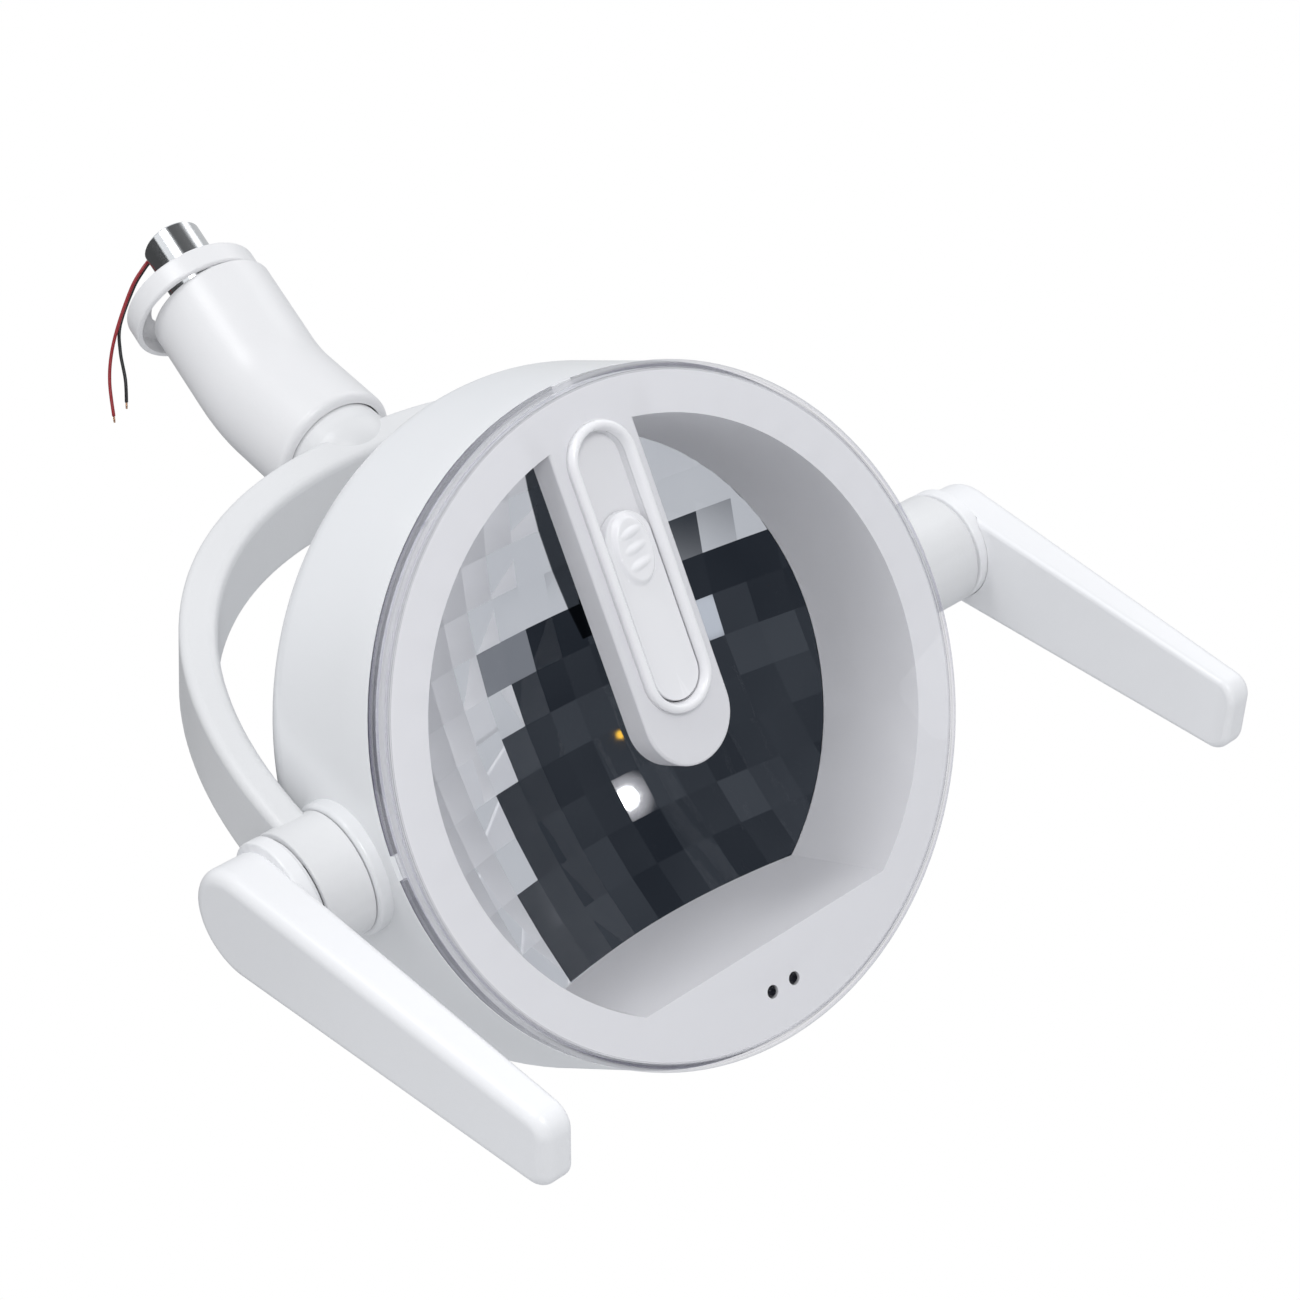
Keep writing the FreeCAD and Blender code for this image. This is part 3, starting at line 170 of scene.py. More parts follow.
def moulded(name, colour, rough=0.32, grain=0.06, coat=0.0, cloud=0.03):
    """Moulded or lacquered surface: faint cloudiness, fine orange-peel, uneven gloss and a painted highlight
    on convex edges.
    """
    material, tree = new_material(name)
    broad = noise(tree, 9.0, 2.0)
    fine = noise(tree, 900.0, 4.0, 0.6)
    smudge = noise(tree, 42.0, 5.0, 0.62)
    tint = ramp(tree, broad.outputs["Fac"], 0.35, 0.7,
                shade(colour, 1 - cloud), shade(colour, 1 + cloud * 0.6))
    # convex edges, found by pointiness, get a slightly lighter colour: a painted edge highlight
    edge = add(tree, "ShaderNodeNewGeometry")
    edge_highlight = ramp(tree, edge.outputs["Pointiness"], 0.5, 0.62, (0, 0, 0), (1, 1, 1))
    mix = add(tree, "ShaderNodeMix", data_type="RGBA")
    tree.links.new(edge_highlight.outputs["Color"], mix.inputs["Factor"])
    tree.links.new(tint.outputs["Color"], mix.inputs[6])
    mix.inputs[7].default_value = (*shade(colour, 1.05), 1.0)
    gloss = span(tree, smudge.outputs["Fac"], rough * 0.82, rough * 1.2)
    surface(tree, mix.outputs[2], gloss.outputs["Result"], fine.outputs["Fac"], grain, coat=coat)
    return material


def metal(name, colour, rough=0.2, stretch=(1.0, 1.0, 1.0), grain=0.05):
    """Bare metal with fine turning or drawing marks."""
    material, tree = new_material(name)
    coords = add(tree, "ShaderNodeTexCoord")
    mapping = add(tree, "ShaderNodeMapping")
    mapping.inputs["Scale"].default_value = stretch
    tree.links.new(coords.outputs["Object"], mapping.inputs["Vector"])
    lines = add(tree, "ShaderNodeTexNoise")
    lines.inputs["Scale"].default_value = 600.0
    lines.inputs["Detail"].default_value = 4.0
    tree.links.new(mapping.outputs["Vector"], lines.inputs["Vector"])
    patch = noise(tree, 60.0, 3.0)
    tint = ramp(tree, patch.outputs["Fac"], 0.3, 0.75, shade(colour, 0.93), shade(colour, 1.04))
    gloss = span(tree, lines.outputs["Fac"], rough * 0.7, rough * 1.3)
    surface(tree, tint.outputs["Color"], gloss.outputs["Result"], lines.outputs["Fac"], grain, metallic=1.0)
    return material


def board(name, colour):
    """Printed board: solder mask with fine copper tracks showing through."""
    material, tree = new_material(name)
    coords = add(tree, "ShaderNodeTexCoord")
    bricks = add(tree, "ShaderNodeTexBrick")
    bricks.inputs["Scale"].default_value = 260.0
    bricks.inputs["Mortar Size"].default_value = 0.035
    bricks.inputs["Color1"].default_value = (*colour, 1)
    bricks.inputs["Color2"].default_value = (*shade(colour, 0.86), 1)
    bricks.inputs["Mortar"].default_value = (*shade(colour, 1.5), 1)
    tree.links.new(coords.outputs["Object"], bricks.inputs["Vector"])
    fine = noise(tree, 500.0)
    gloss = span(tree, fine.outputs["Fac"], 0.3, 0.5)
    surface(tree, bricks.outputs["Color"], gloss.outputs["Result"], bricks.outputs["Fac"], 0.2)
    return material


def head_axes(tree):
    """Distance from the head's axis, and the position across, behind and up the rim, all in mm."""
    coords = add(tree, "ShaderNodeTexCoord")
    offset = add(tree, "ShaderNodeVectorMath", operation="SUBTRACT")
    offset.inputs[1].default_value = HEAD_ORIGIN
    tree.links.new(coords.outputs["Object"], offset.inputs[0])
    reach = []
    for axis in (HX, HY, HZ):
        dot = add(tree, "ShaderNodeVectorMath", operation="DOT_PRODUCT")
        dot.inputs[1].default_value = axis / MM
        tree.links.new(offset.outputs[0], dot.inputs[0])
        reach.append(dot.outputs["Value"])
    flat = add(tree, "ShaderNodeCombineXYZ")
    tree.links.new(reach[0], flat.inputs[0])
    tree.links.new(reach[2], flat.inputs[2])
    length = add(tree, "ShaderNodeVectorMath", operation="LENGTH")
    tree.links.new(flat.outputs[0], length.inputs[0])
    return length.outputs["Value"], reach


def bands(tree, source, start, end, stops):
    """Stepped colour and cover along one distance: stops are (position, colour, cover), cover in alpha."""
    unit = add(tree, "ShaderNodeMapRange")
    unit.inputs["From Min"].default_value = start
    unit.inputs["From Max"].default_value = end
    tree.links.new(source, unit.inputs["Value"])
    node = add(tree, "ShaderNodeValToRGB")
    elements = node.color_ramp.elements
    while len(elements) < len(stops):
        elements.new(0.5)
    for element, (position, colour, cover) in zip(elements, stops):
        element.position = (position - start) / (end - start)
        element.color = (*colour, cover)
    tree.links.new(unit.outputs["Result"], node.inputs["Fac"])
    return node


# the cover's front face lies in front of this depth, its rim skirt behind it, in mm
COVER_FACE_DEPTH = 1.25


def glass_sheet(name, tint, strength=1.0, painted_rim_lines=False):
    """Thin clear moulding, polished outside; with rim lines on, the rim gets painted highlight lines, painted
    shadow lines and grey and violet bands.
    """
    material, tree = new_material(name)
    fine = noise(tree, 25.0, 2.0)
    bump = add(tree, "ShaderNodeBump")
    bump.inputs["Strength"].default_value = 0.03
    bump.inputs["Distance"].default_value = 0.001
    tree.links.new(fine.outputs["Fac"], bump.inputs["Height"])
    fresnel = add(tree, "ShaderNodeFresnel", IOR=1.49)
    tree.links.new(bump.outputs["Normal"], fresnel.inputs["Normal"])
    facing = add(tree, "ShaderNodeNewGeometry")
    outer = add(tree, "ShaderNodeMath", operation="MULTIPLY_ADD")
    outer.inputs[1].default_value = -strength
    outer.inputs[2].default_value = strength
    tree.links.new(facing.outputs["Backfacing"], outer.inputs[0])
    scale = add(tree, "ShaderNodeMath", operation="MULTIPLY")
    tree.links.new(fresnel.outputs["Fac"], scale.inputs[0])
    tree.links.new(outer.outputs[0], scale.inputs[1])
    through = add(tree, "ShaderNodeBsdfTransparent", Color=(*tint, 1))
    gloss = add(tree, "ShaderNodeBsdfGlossy", Color=(1, 1, 1, 1), Roughness=0.03)
    tree.links.new(bump.outputs["Normal"], gloss.inputs["Normal"])
    clear = add(tree, "ShaderNodeMixShader")
    tree.links.new(scale.outputs[0], clear.inputs[0])
    tree.links.new(through.outputs[0], clear.inputs[1])
    tree.links.new(gloss.outputs[0], clear.inputs[2])
    out = add(tree, "ShaderNodeOutputMaterial")
    if not painted_rim_lines:
        light_passes(tree, clear.outputs[0], out)
        return material
    radius, (_, depth, _) = head_axes(tree)
    white, violet = (0.90, 0.90, 0.93), (0.50, 0.47, 0.68)
    grey, dark = (0.55, 0.55, 0.60), (0.10, 0.10, 0.13)
    # across the rim's face: white bands are painted highlights and the thin dark line is a painted shadow
    # line, with grey and violet bands between
    face = bands(tree, radius, 104.0, 110.0, [
        (104.0, grey, 0.0), (106.7, grey, 0.0), (106.9, white, 0.75), (107.25, white, 0.75),
        (107.4, dark, 0.45), (107.6, grey, 0.12), (108.4, violet, 0.28), (108.7, white, 0.35),
        (109.3, white, 0.8), (110.0, white, 0.9),
    ])
    # down the rim's skirt: painted highlight at the front bevel, painted shadow lines, and a painted shadow
    # gap to the housing at the back
    side = bands(tree, depth, 0.0, 8.0, [
        (0.0, white, 0.9), (1.4, white, 0.75), (1.8, violet, 0.35), (3.4, grey, 0.15), (4.4, grey, 0.15),
        (4.8, dark, 0.5), (5.1, white, 0.3), (6.8, violet, 0.3), (7.2, dark, 0.85), (8.0, dark, 0.9),
    ])
    behind = add(tree, "ShaderNodeMath", operation="GREATER_THAN")
    behind.inputs[1].default_value = COVER_FACE_DEPTH
    tree.links.new(depth, behind.inputs[0])
    colour = add(tree, "ShaderNodeMix", data_type="RGBA")
    cover = add(tree, "ShaderNodeMix", data_type="FLOAT")
    for mix, port, a, b in ((colour, "Color", 6, 7), (cover, "Alpha", 2, 3)):
        tree.links.new(behind.outputs[0], mix.inputs[0])
        tree.links.new(face.outputs[port], mix.inputs[a])
        tree.links.new(side.outputs[port], mix.inputs[b])
    patchy = noise(tree, 14.0, 3.0)
    fade = span(tree, patchy.outputs["Fac"], 0.45, 1.25)
    level = add(tree, "ShaderNodeMath", operation="MULTIPLY", use_clamp=True)
    tree.links.new(cover.outputs[0], level.inputs[0])
    tree.links.new(fade.outputs["Result"], level.inputs[1])
    body = add(tree, "ShaderNodeBsdfPrincipled")
    body.inputs["Roughness"].default_value = 0.18
    tree.links.new(colour.outputs[2], body.inputs["Base Color"])
    both = add(tree, "ShaderNodeMixShader")
    tree.links.new(level.outputs[0], both.inputs[0])
    tree.links.new(clear.outputs[0], both.inputs[1])
    tree.links.new(body.outputs[0], both.inputs[2])
    light_passes(tree, both.outputs[0], out)
    return material


def light_passes(tree, shader, out):
    """Lets shadow and soft light rays straight through a clear moulding."""
    rays = add(tree, "ShaderNodeLightPath")
    soft = add(tree, "ShaderNodeMath", operation="MAXIMUM")
    tree.links.new(rays.outputs["Is Shadow Ray"], soft.inputs[0])
    tree.links.new(rays.outputs["Is Diffuse Ray"], soft.inputs[1])
    clear = add(tree, "ShaderNodeBsdfTransparent", Color=(1, 1, 1, 1))
    mix = add(tree, "ShaderNodeMixShader")
    tree.links.new(soft.outputs[0], mix.inputs[0])
    tree.links.new(shader, mix.inputs[1])
    tree.links.new(clear.outputs[0], mix.inputs[2])
    tree.links.new(mix.outputs[0], out.inputs["Surface"])


# painted reflection of the bar's dark back, a stripe on the mirror, in head mm: x + slope * z stays within
# half a width of one value
PAINTED_REFLECTION_SLOPE = 0.215
PAINTED_REFLECTION_AT = 27.0
PAINTED_REFLECTION_HALF = 3.1
PAINTED_REFLECTION_FOOT = 18.0


def mirror_material(name):
    """Vapour-coated reflector: faint dust, an uneven film, and a painted reflection: a dark band painted
    beside the bar, standing for the bar's back seen in the mirror.
    """
    material, tree = new_material(name)
    film = noise(tree, 30.0, 3.0)
    dust = noise(tree, 700.0, 5.0, 0.7)
    tint = ramp(tree, film.outputs["Fac"], 0.3, 0.75, (0.86, 0.87, 0.89), (0.93, 0.94, 0.95))
    gloss = span(tree, dust.outputs["Fac"], 0.0, 0.035)
    _, (across, _, up) = head_axes(tree)
    # mask of the painted reflection: a leaning stripe above a foot
    lean = add(tree, "ShaderNodeMath", operation="MULTIPLY_ADD")
    lean.inputs[1].default_value = PAINTED_REFLECTION_SLOPE
    tree.links.new(up, lean.inputs[0])
    tree.links.new(across, lean.inputs[2])
    off = add(tree, "ShaderNodeMath", operation="SUBTRACT")
    off.inputs[1].default_value = PAINTED_REFLECTION_AT
    tree.links.new(lean.outputs[0], off.inputs[0])
    size = add(tree, "ShaderNodeMath", operation="ABSOLUTE")
    tree.links.new(off.outputs[0], size.inputs[0])
    inside = add(tree, "ShaderNodeMapRange")
    inside.inputs["From Min"].default_value = PAINTED_REFLECTION_HALF - 0.2
    inside.inputs["From Max"].default_value = PAINTED_REFLECTION_HALF + 0.2
    inside.inputs["To Min"].default_value = 1.0
    inside.inputs["To Max"].default_value = 0.0
    tree.links.new(size.outputs[0], inside.inputs["Value"])
    upper = add(tree, "ShaderNodeMath", operation="GREATER_THAN")
    upper.inputs[1].default_value = PAINTED_REFLECTION_FOOT
    tree.links.new(up, upper.inputs[0])
    both = add(tree, "ShaderNodeMath", operation="MULTIPLY")
    tree.links.new(inside.outputs["Result"], both.inputs[0])
    tree.links.new(upper.outputs[0], both.inputs[1])
    # the film's colour, with the painted reflection of the bar's back in near-black inside the stripe
    film_and_painted_reflection = add(tree, "ShaderNodeMix", data_type="RGBA")
    tree.links.new(both.outputs[0], film_and_painted_reflection.inputs["Factor"])
    tree.links.new(tint.outputs["Color"], film_and_painted_reflection.inputs[6])
    film_and_painted_reflection.inputs[7].default_value = (0.055, 0.062, 0.072, 1)
    surface(tree, film_and_painted_reflection.outputs[2], gloss.outputs["Result"], film.outputs["Fac"], 0.0, metallic=1.0)
    return material


def glow(name, colour, power):
    """Luminous gel with a faint grain."""
    material, tree = new_material(name)
    grain = noise(tree, 900.0)
    tint = ramp(tree, grain.outputs["Fac"], 0.3, 0.7, shade(colour, 0.85), colour)
    lamp = add(tree, "ShaderNodeEmission", Strength=power)
    tree.links.new(tint.outputs["Color"], lamp.inputs["Color"])
    out = add(tree, "ShaderNodeOutputMaterial")
    tree.links.new(lamp.outputs[0], out.inputs["Surface"])
    return material


WHITE_SHELL = moulded("shell_white", (0.79, 0.80, 0.815), rough=0.30, coat=0.25)
WHITE_FASCIA = moulded("fascia_white", (0.80, 0.80, 0.82), rough=0.34, grain=0.04)
WHITE_SLIDE = moulded("slide_white", (0.88, 0.88, 0.90), rough=0.26, coat=0.3)
WHITE_YOKE = moulded("yoke_coat", (0.74, 0.745, 0.755), rough=0.36, grain=0.12)
WHITE_NECK = moulded("neck_white", (0.80, 0.80, 0.81), rough=0.33)
WHITE_HANDLE = moulded("handle_white", (0.86, 0.865, 0.88), rough=0.30)
STEEL_PIN = metal("pin_steel", (0.80, 0.81, 0.83), rough=0.10, stretch=(1, 1, 30))
STEEL = metal("shaft_steel", (0.60, 0.61, 0.63), rough=0.22)
PLATED = metal("screw_plating", (0.70, 0.71, 0.74), rough=0.16)
SPRING = metal("spring_steel", (0.42, 0.43, 0.45), rough=0.3)
CAST = metal("cast_alloy", (0.55, 0.56, 0.58), rough=0.45, grain=0.3)
ANODISED = moulded("heatsink_anodised", (0.010, 0.012, 0.015), rough=0.42, grain=0.15)
ACETAL = moulded("acetal", (0.80, 0.79, 0.75), rough=0.45)
CABLE = moulded("cable_jacket", (0.05, 0.05, 0.055), rough=0.5, grain=0.2)
FIBRE = moulded("friction_fibre", (0.10, 0.07, 0.05), rough=0.7, grain=0.5, cloud=0.2)
BLACK = moulded("sensor_black", (0.012, 0.012, 0.016), rough=0.12, grain=0.0)
CARRIER = moulded("carrier_grey", (0.05, 0.05, 0.055), rough=0.4)
LEAD_RED = moulded("lead_red", (0.33, 0.012, 0.02), rough=0.35, grain=0.1, cloud=0.15)
LEAD_BLACK = moulded("lead_black", (0.012, 0.012, 0.014), rough=0.38, grain=0.1, cloud=0.15)
COPPER = metal("bare_copper", (0.72, 0.45, 0.30), rough=0.3, stretch=(1, 1, 0.1), grain=0.4)
BOARD_GREEN = board("board_green", (0.015, 0.10, 0.04))
BOARD_WHITE = board("board_white", (0.70, 0.72, 0.70))
CLEAR = glass_sheet("clear_cover", (0.975, 0.975, 0.980), strength=0.75, painted_rim_lines=True)
AMBER = glass_sheet("amber_filter", (0.95, 0.50, 0.06), strength=0.8)
MIRROR = mirror_material("reflector_film_painted_reflection")
PHOSPHOR = glow("phosphor", (1.0, 0.62, 0.08), 1.2)

BY_NODE = {
    "mount_pin": STEEL_PIN, "collar_ring": WHITE_NECK, "pin_circlip": SPRING, "pin_thrust_washer": ACETAL,
    "supply_lead_red": LEAD_RED, "supply_lead_black": LEAD_BLACK, "neck_shell": WHITE_NECK,
    "neck_core": CAST, "pin_bushes": ACETAL, "swivel_lock_screw": PLATED, "hub_bush": ACETAL,
    "neck_cable": CABLE, "yoke_frame": WHITE_YOKE, "yoke_back_cover": WHITE_SHELL,
    "hub_shaft": STEEL, "hub_spring_washer": SPRING, "hub_circlip": SPRING,
    "trunnion_bushes": ACETAL, "yoke_cable": CABLE, "housing_shell": WHITE_SHELL,
    "rear_cover": WHITE_SHELL, "rear_cover_screws": PLATED, "front_fascia": WHITE_FASCIA,
    "fascia_screws": PLATED, "clear_cover": CLEAR, "slide_frame": WHITE_SLIDE,
    "slider_plate": WHITE_SLIDE, "filter_carrier": CARRIER, "amber_filter": AMBER,
    "detent_spring": SPRING, "led_heatsink": ANODISED, "led_board": BOARD_WHITE, "led_chip": PHOSPHOR,
    "reflector": MIRROR, "reflector_clips": SPRING, "sensor_emitter": BLACK, "sensor_receiver": BLACK,
    "sensor_board": BOARD_GREEN, "driver_board": BOARD_GREEN, "head_cable": CABLE, "led_cable": CABLE,
    "trunnion_shaft_left": STEEL, "trunnion_shaft_right": STEEL, "trunnion_screws": PLATED,
    "friction_washers": FIBRE, "trunnion_nuts": PLATED, "handle_hub_left": WHITE_HANDLE,
    "handle_hub_right": WHITE_HANDLE, "tilt_stop_pin": STEEL, "handle_left": WHITE_HANDLE,
    "handle_right": WHITE_HANDLE,
}


SHARP_ANGLE = math.radians(32)


def dress(node, material):
    """Gives a CAD node its material and smooth shading between its real edges."""
    obj = NODES[node]
    obj.data.materials.clear()
    obj.data.materials.append(material)
    for polygon in obj.data.polygons:
        polygon.use_smooth = True
    obj.data.set_sharp_from_angle(angle=SHARP_ANGLE)


for node_name, node_material in BY_NODE.items():
    dress(node_name, node_material)


# ---- mesh helpers --------------------------------------------------------------------------------
def make_piece(name, verts, faces, material, body, smooth=True, replaced=()):
    """New mesh piece on a body, in the place of the CAD nodes it replaces."""
    mesh = bpy.data.meshes.new(name)
    mesh.from_pydata([tuple(v) for v in verts], [], faces)
    mesh.update()
    mesh.materials.append(material)
    obj = bpy.data.objects.new(name, mesh)
    bpy.context.scene.collection.objects.link(obj)
    for polygon in mesh.polygons:
        polygon.use_smooth = smooth
    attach(obj, body)
    if replaced:
        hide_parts(*replaced)
    return obj


# ---- faceted reflector ---------------------------------------------------------------------------
VERTEX_Y = 79.0
FOCUS = 67.0
FACET_W = 11.0
FACET_H = 15.0
FACET_TILT = 0.0015         # each facet's random lean, as a slope
FACET_SET_BACK = 0.2
SKIN_SET_BACK = 1.3         # the backing skin lies this far behind the bowl
MOUTH_R = 91.4
MOUTH_CHORD = 75.6


def mirror_depth(x, z):
    """Depth of the smooth bowl behind the rim at a point, in mm."""
    return VERTEX_Y - (x * x + z * z) / (4 * FOCUS)


def clip_polygon(points, inside, cross):
    """Sutherland-Hodgman clip of a flat polygon against one boundary."""
    out = []
    for i, p in enumerate(points):
        q = points[(i + 1) % len(points)]
        if inside(p):
            out.append(p)
            if not inside(q):
                out.append(cross(p, q))
        elif inside(q):
            out.append(cross(p, q))
    return out


def mouth_clip(points):
    """Trims a facet's outline to the round mouth and its straight lower edge."""
    steps = 72
    for i in range(steps):
        a = 2 * math.pi * i / steps
        n = (math.cos(a), math.sin(a))

        def inside(p, n=n):
            return p[0] * n[0] + p[1] * n[1] <= MOUTH_R + 1e-6

        def cross(p, q, n=n):
            dp = p[0] * n[0] + p[1] * n[1] - MOUTH_R
            dq = q[0] * n[0] + q[1] * n[1] - MOUTH_R
            t = dp / (dp - dq)
            return (p[0] + t * (q[0] - p[0]), p[1] + t * (q[1] - p[1]))
        if max(p[0] * n[0] + p[1] * n[1] for p in points) > MOUTH_R:
            points = clip_polygon(points, inside, cross)
            if len(points) < 3:
                return []
    if min(p[1] for p in points) < -MOUTH_CHORD:
        points = clip_polygon(
            points, lambda p: p[1] >= -MOUTH_CHORD - 1e-6,
            lambda p, q: (p[0] + (-MOUTH_CHORD - p[1]) / (q[1] - p[1]) * (q[0] - p[0]), -MOUTH_CHORD))
    return points if len(points) >= 3 else []


def drop_collapsed_faces(mesh):
    """Removes faces squeezed to a line at the bowl's centre and straight edge, and the points left loose."""
    work = bmesh.new()
    work.from_mesh(mesh)
    bmesh.ops.dissolve_degenerate(work, dist=1e-5, edges=work.edges)
    flat = [f for f in work.faces if f.calc_area() < 1e-10]
    bmesh.ops.delete(work, geom=flat, context="FACES")
    loose = [v for v in work.verts if not v.link_faces]
    bmesh.ops.delete(work, geom=loose, context="VERTS")
    work.to_mesh(mesh)
    work.free()


def faceted_reflector():
    """Flat mirror facets in rows and columns, over a smooth backing skin."""
    rng = random.Random(11)
    verts, faces = [], []
    columns = int(MOUTH_R / FACET_W) + 2
    rows = int(MOUTH_R / FACET_H) + 2
    for i in range(-columns, columns):
        x0 = i * FACET_W
        for k in range(-rows, rows):
            z0 = k * FACET_H
            x1 = x0 + FACET_W
            z1 = z0 + FACET_H
            outline = mouth_clip([(x0, z0), (x1, z0), (x1, z1), (x0, z1)])
            if not outline:
                continue
            cx = x0 + FACET_W / 2
            cz = z0 + FACET_H / 2
            slope_x = -cx / (2 * FOCUS) + rng.uniform(-FACET_TILT, FACET_TILT)
            slope_z = -cz / (2 * FOCUS) + rng.uniform(-FACET_TILT, FACET_TILT)
            base = mirror_depth(cx, cz) + FACET_SET_BACK
            start = len(verts)
            for x, z in outline:
                verts.append(in_head(x, base + slope_x * (x - cx) + slope_z * (z - cz), z))
            faces.append(list(range(start, len(verts))))
    # backing skin just behind the facets
    rings, spokes = 14, 72
    start = len(verts)
    for r in range(rings + 1):
        radius = (MOUTH_R + 0.4) * r / rings
        for s in range(spokes):
            a = 2 * math.pi * s / spokes
            x = radius * math.cos(a)
            z = max(radius * math.sin(a), -MOUTH_CHORD)
            verts.append(in_head(x, mirror_depth(x, z) + SKIN_SET_BACK, z))
    for r in range(rings):
        for s in range(spokes):
            a = start + r * spokes + s
            b = start + r * spokes + (s + 1) % spokes
            faces.append([a, b, b + spokes, a + spokes])
    bowl = make_piece("reflector_facets", verts, faces, MIRROR, "head",
                      smooth=False, replaced=("reflector",))
    drop_collapsed_faces(bowl.data)
    return bowl


faceted_reflector()


# ---- slider frame and plate ----------------------------------------------------------------------
FRAME_HALF, FRAME_LOW, FRAME_HIGH = 12.6, 1.8, 96.4
PLATE_HALF, PLATE_LOW, PLATE_HIGH = 8.75, 5.65, 67.35
ARC_STEPS = 28
SIDE_STEPS = 44


def stadium_ring(half, low, high, inset, side_steps=SIDE_STEPS):
    """Points round a full-ended bar's outline, shrunk by an inset, as (x, z)."""
    r = max(half - inset, 0.02)
    z0, z1 = low + half, high - half
    ring = []
    for i in range(ARC_STEPS):
        a = math.pi * i / ARC_STEPS
        ring.append((r * math.cos(a), z1 + r * math.sin(a)))
    for i in range(side_steps):
        ring.append((-r, z1 + (z0 - z1) * i / side_steps))
    for i in range(ARC_STEPS):
        a = math.pi * (1 + i / ARC_STEPS)
        ring.append((r * math.cos(a), z0 + r * math.sin(a)))
    for i in range(side_steps):
        ring.append((r, z0 + (z1 - z0) * i / side_steps))
    return ring


def ring_strips(rings, count, closed):
    """Quads between neighbouring rings of points; closed joins the last ring to the first."""
    faces = []
    for k in range(rings if closed else rings - 1):
        for i in range(count):
            j = (i + 1) % count
            a, b = k * count, ((k + 1) % rings) * count
            faces.append([a + i, b + i, b + j, a + j])
    return faces


def soft_frame():
    """Bezel with a rounded crown and an inner wall that slopes down to the track."""
    profile = [(0.0, 1.3), (0.0, -0.7), (0.12, -1.3), (0.45, -1.8), (0.95, -2.1), (1.5, -2.2), (2.0, -2.1),
               (2.4, -1.75), (2.7, -1.1), (3.0, -0.2), (3.2, 0.6), (3.35, 1.3)]
    verts = []
    for inset, y in profile:
        verts += [in_head(x, y, z) for x, z in stadium_ring(FRAME_HALF, FRAME_LOW, FRAME_HIGH, inset)]
    faces = ring_strips(len(profile), 2 * (ARC_STEPS + SIDE_STEPS), closed=True)
    return make_piece("slide_frame_soft", verts, faces, WHITE_SLIDE, "head",
                      replaced=("slide_frame",))


def soft_step(value):
    """Smooth rise from 0 to 1."""
    value = min(max(value, 0.0), 1.0)
    return value * value * (3 - 2 * value)


def grip_height(x, z):
    """Raised oval thumb grip with a shallow dish and three lens-shaped ribs, in mm above the plate."""
    u, v = x / 7.3, (z - 55.2) / 12.1
    reach = math.sqrt(u * u + v * v)
    height = 1.7 * soft_step((1.0 - reach) / 0.2)
    height -= 0.45 * soft_step((0.8 - math.hypot(u, v)) / 0.6)
    for rib_z in (60.6, 55.6, 50.4):
        across = x / 4.4
        along = (z - rib_z - 0.12 * x) / 1.7
        reach = math.hypot(across, along)
        if reach < 1:
            height += 0.9 * (1 - reach * reach) ** 1.2
    return height


def ribbed_plate():
    """Sliding plate: rounded edge, thumb grip, and the stem that reaches the filter carrier."""
    top_y, base_y, steps = 0.35, 3.5, 36
    side = 150
    spine = 0.3
    count = 2 * (ARC_STEPS + side)
    rings = [(0.0, base_y, False), (0.0, top_y + 0.55, False), (0.08, top_y + 0.25, False)]
    rings += [(0.25 + (PLATE_HALF - spine - 0.25) * (i / steps), top_y, True) for i in range(steps + 1)]
    verts = []
    for inset, y, raised in rings:
        for x, z in stadium_ring(PLATE_HALF, PLATE_LOW, PLATE_HIGH, inset, side):
            verts.append(in_head(x, y - (grip_height(x, z) if raised else 0.0), z))
    faces = ring_strips(len(rings), count, closed=False)
    faces.append(list(range(count))[::-1])
    last = (len(rings) - 1) * count
    left, right = ARC_STEPS, 2 * ARC_STEPS + side
    for i in range(side):
        opposite = right + side - i
        faces.append([last + (k % count) for k in (left + i, left + i + 1, opposite - 1, opposite)])
    faces.append([last + i for i in range(left + 1)])
    faces.append([last + i for i in range(left + side, right + 1)])
    start = len(verts)
    half, low, high = 1.6, 15.0, 23.0
    for y in (3.4, 13.4):
        verts += [in_head(x, y, z) for x, z in ((-half, low), (half, low), (half, high), (-half, high))]
    faces += [[start + i, start + (i + 1) % 4, start + 4 + (i + 1) % 4, start + 4 + i] for i in range(4)]
    faces += [[start + 3, start + 2, start + 1, start], [start + 4, start + 5, start + 6, start + 7]]
    plate = make_piece("slider_plate_ribbed", verts, faces, WHITE_SLIDE, "slider",
                       replaced=("slider_plate",))
    plate.data.set_sharp_from_angle(angle=math.radians(50))
    return plate


soft_frame()
ribbed_plate()


# ---- supply leads --------------------------------------------------------------------------------
PATH_STEPS = 10             # path points for each span between two given points


def catmull(points):
    """Smooth path through points."""
    out = []
    for i in range(len(points) - 1):
        p0 = points[max(i - 1, 0)]
        p1, p2 = points[i], points[i + 1]
        p3 = points[min(i + 2, len(points) - 1)]
        for s in range(PATH_STEPS):
            t = s / PATH_STEPS
            out.append(0.5 * ((2 * p1) + (p2 - p0) * t + (2 * p0 - 5 * p1 + 4 * p2 - p3) * t * t
                              + (3 * p1 - p0 - 3 * p2 + p3) * t ** 3))
    out.append(points[-1])
    return out


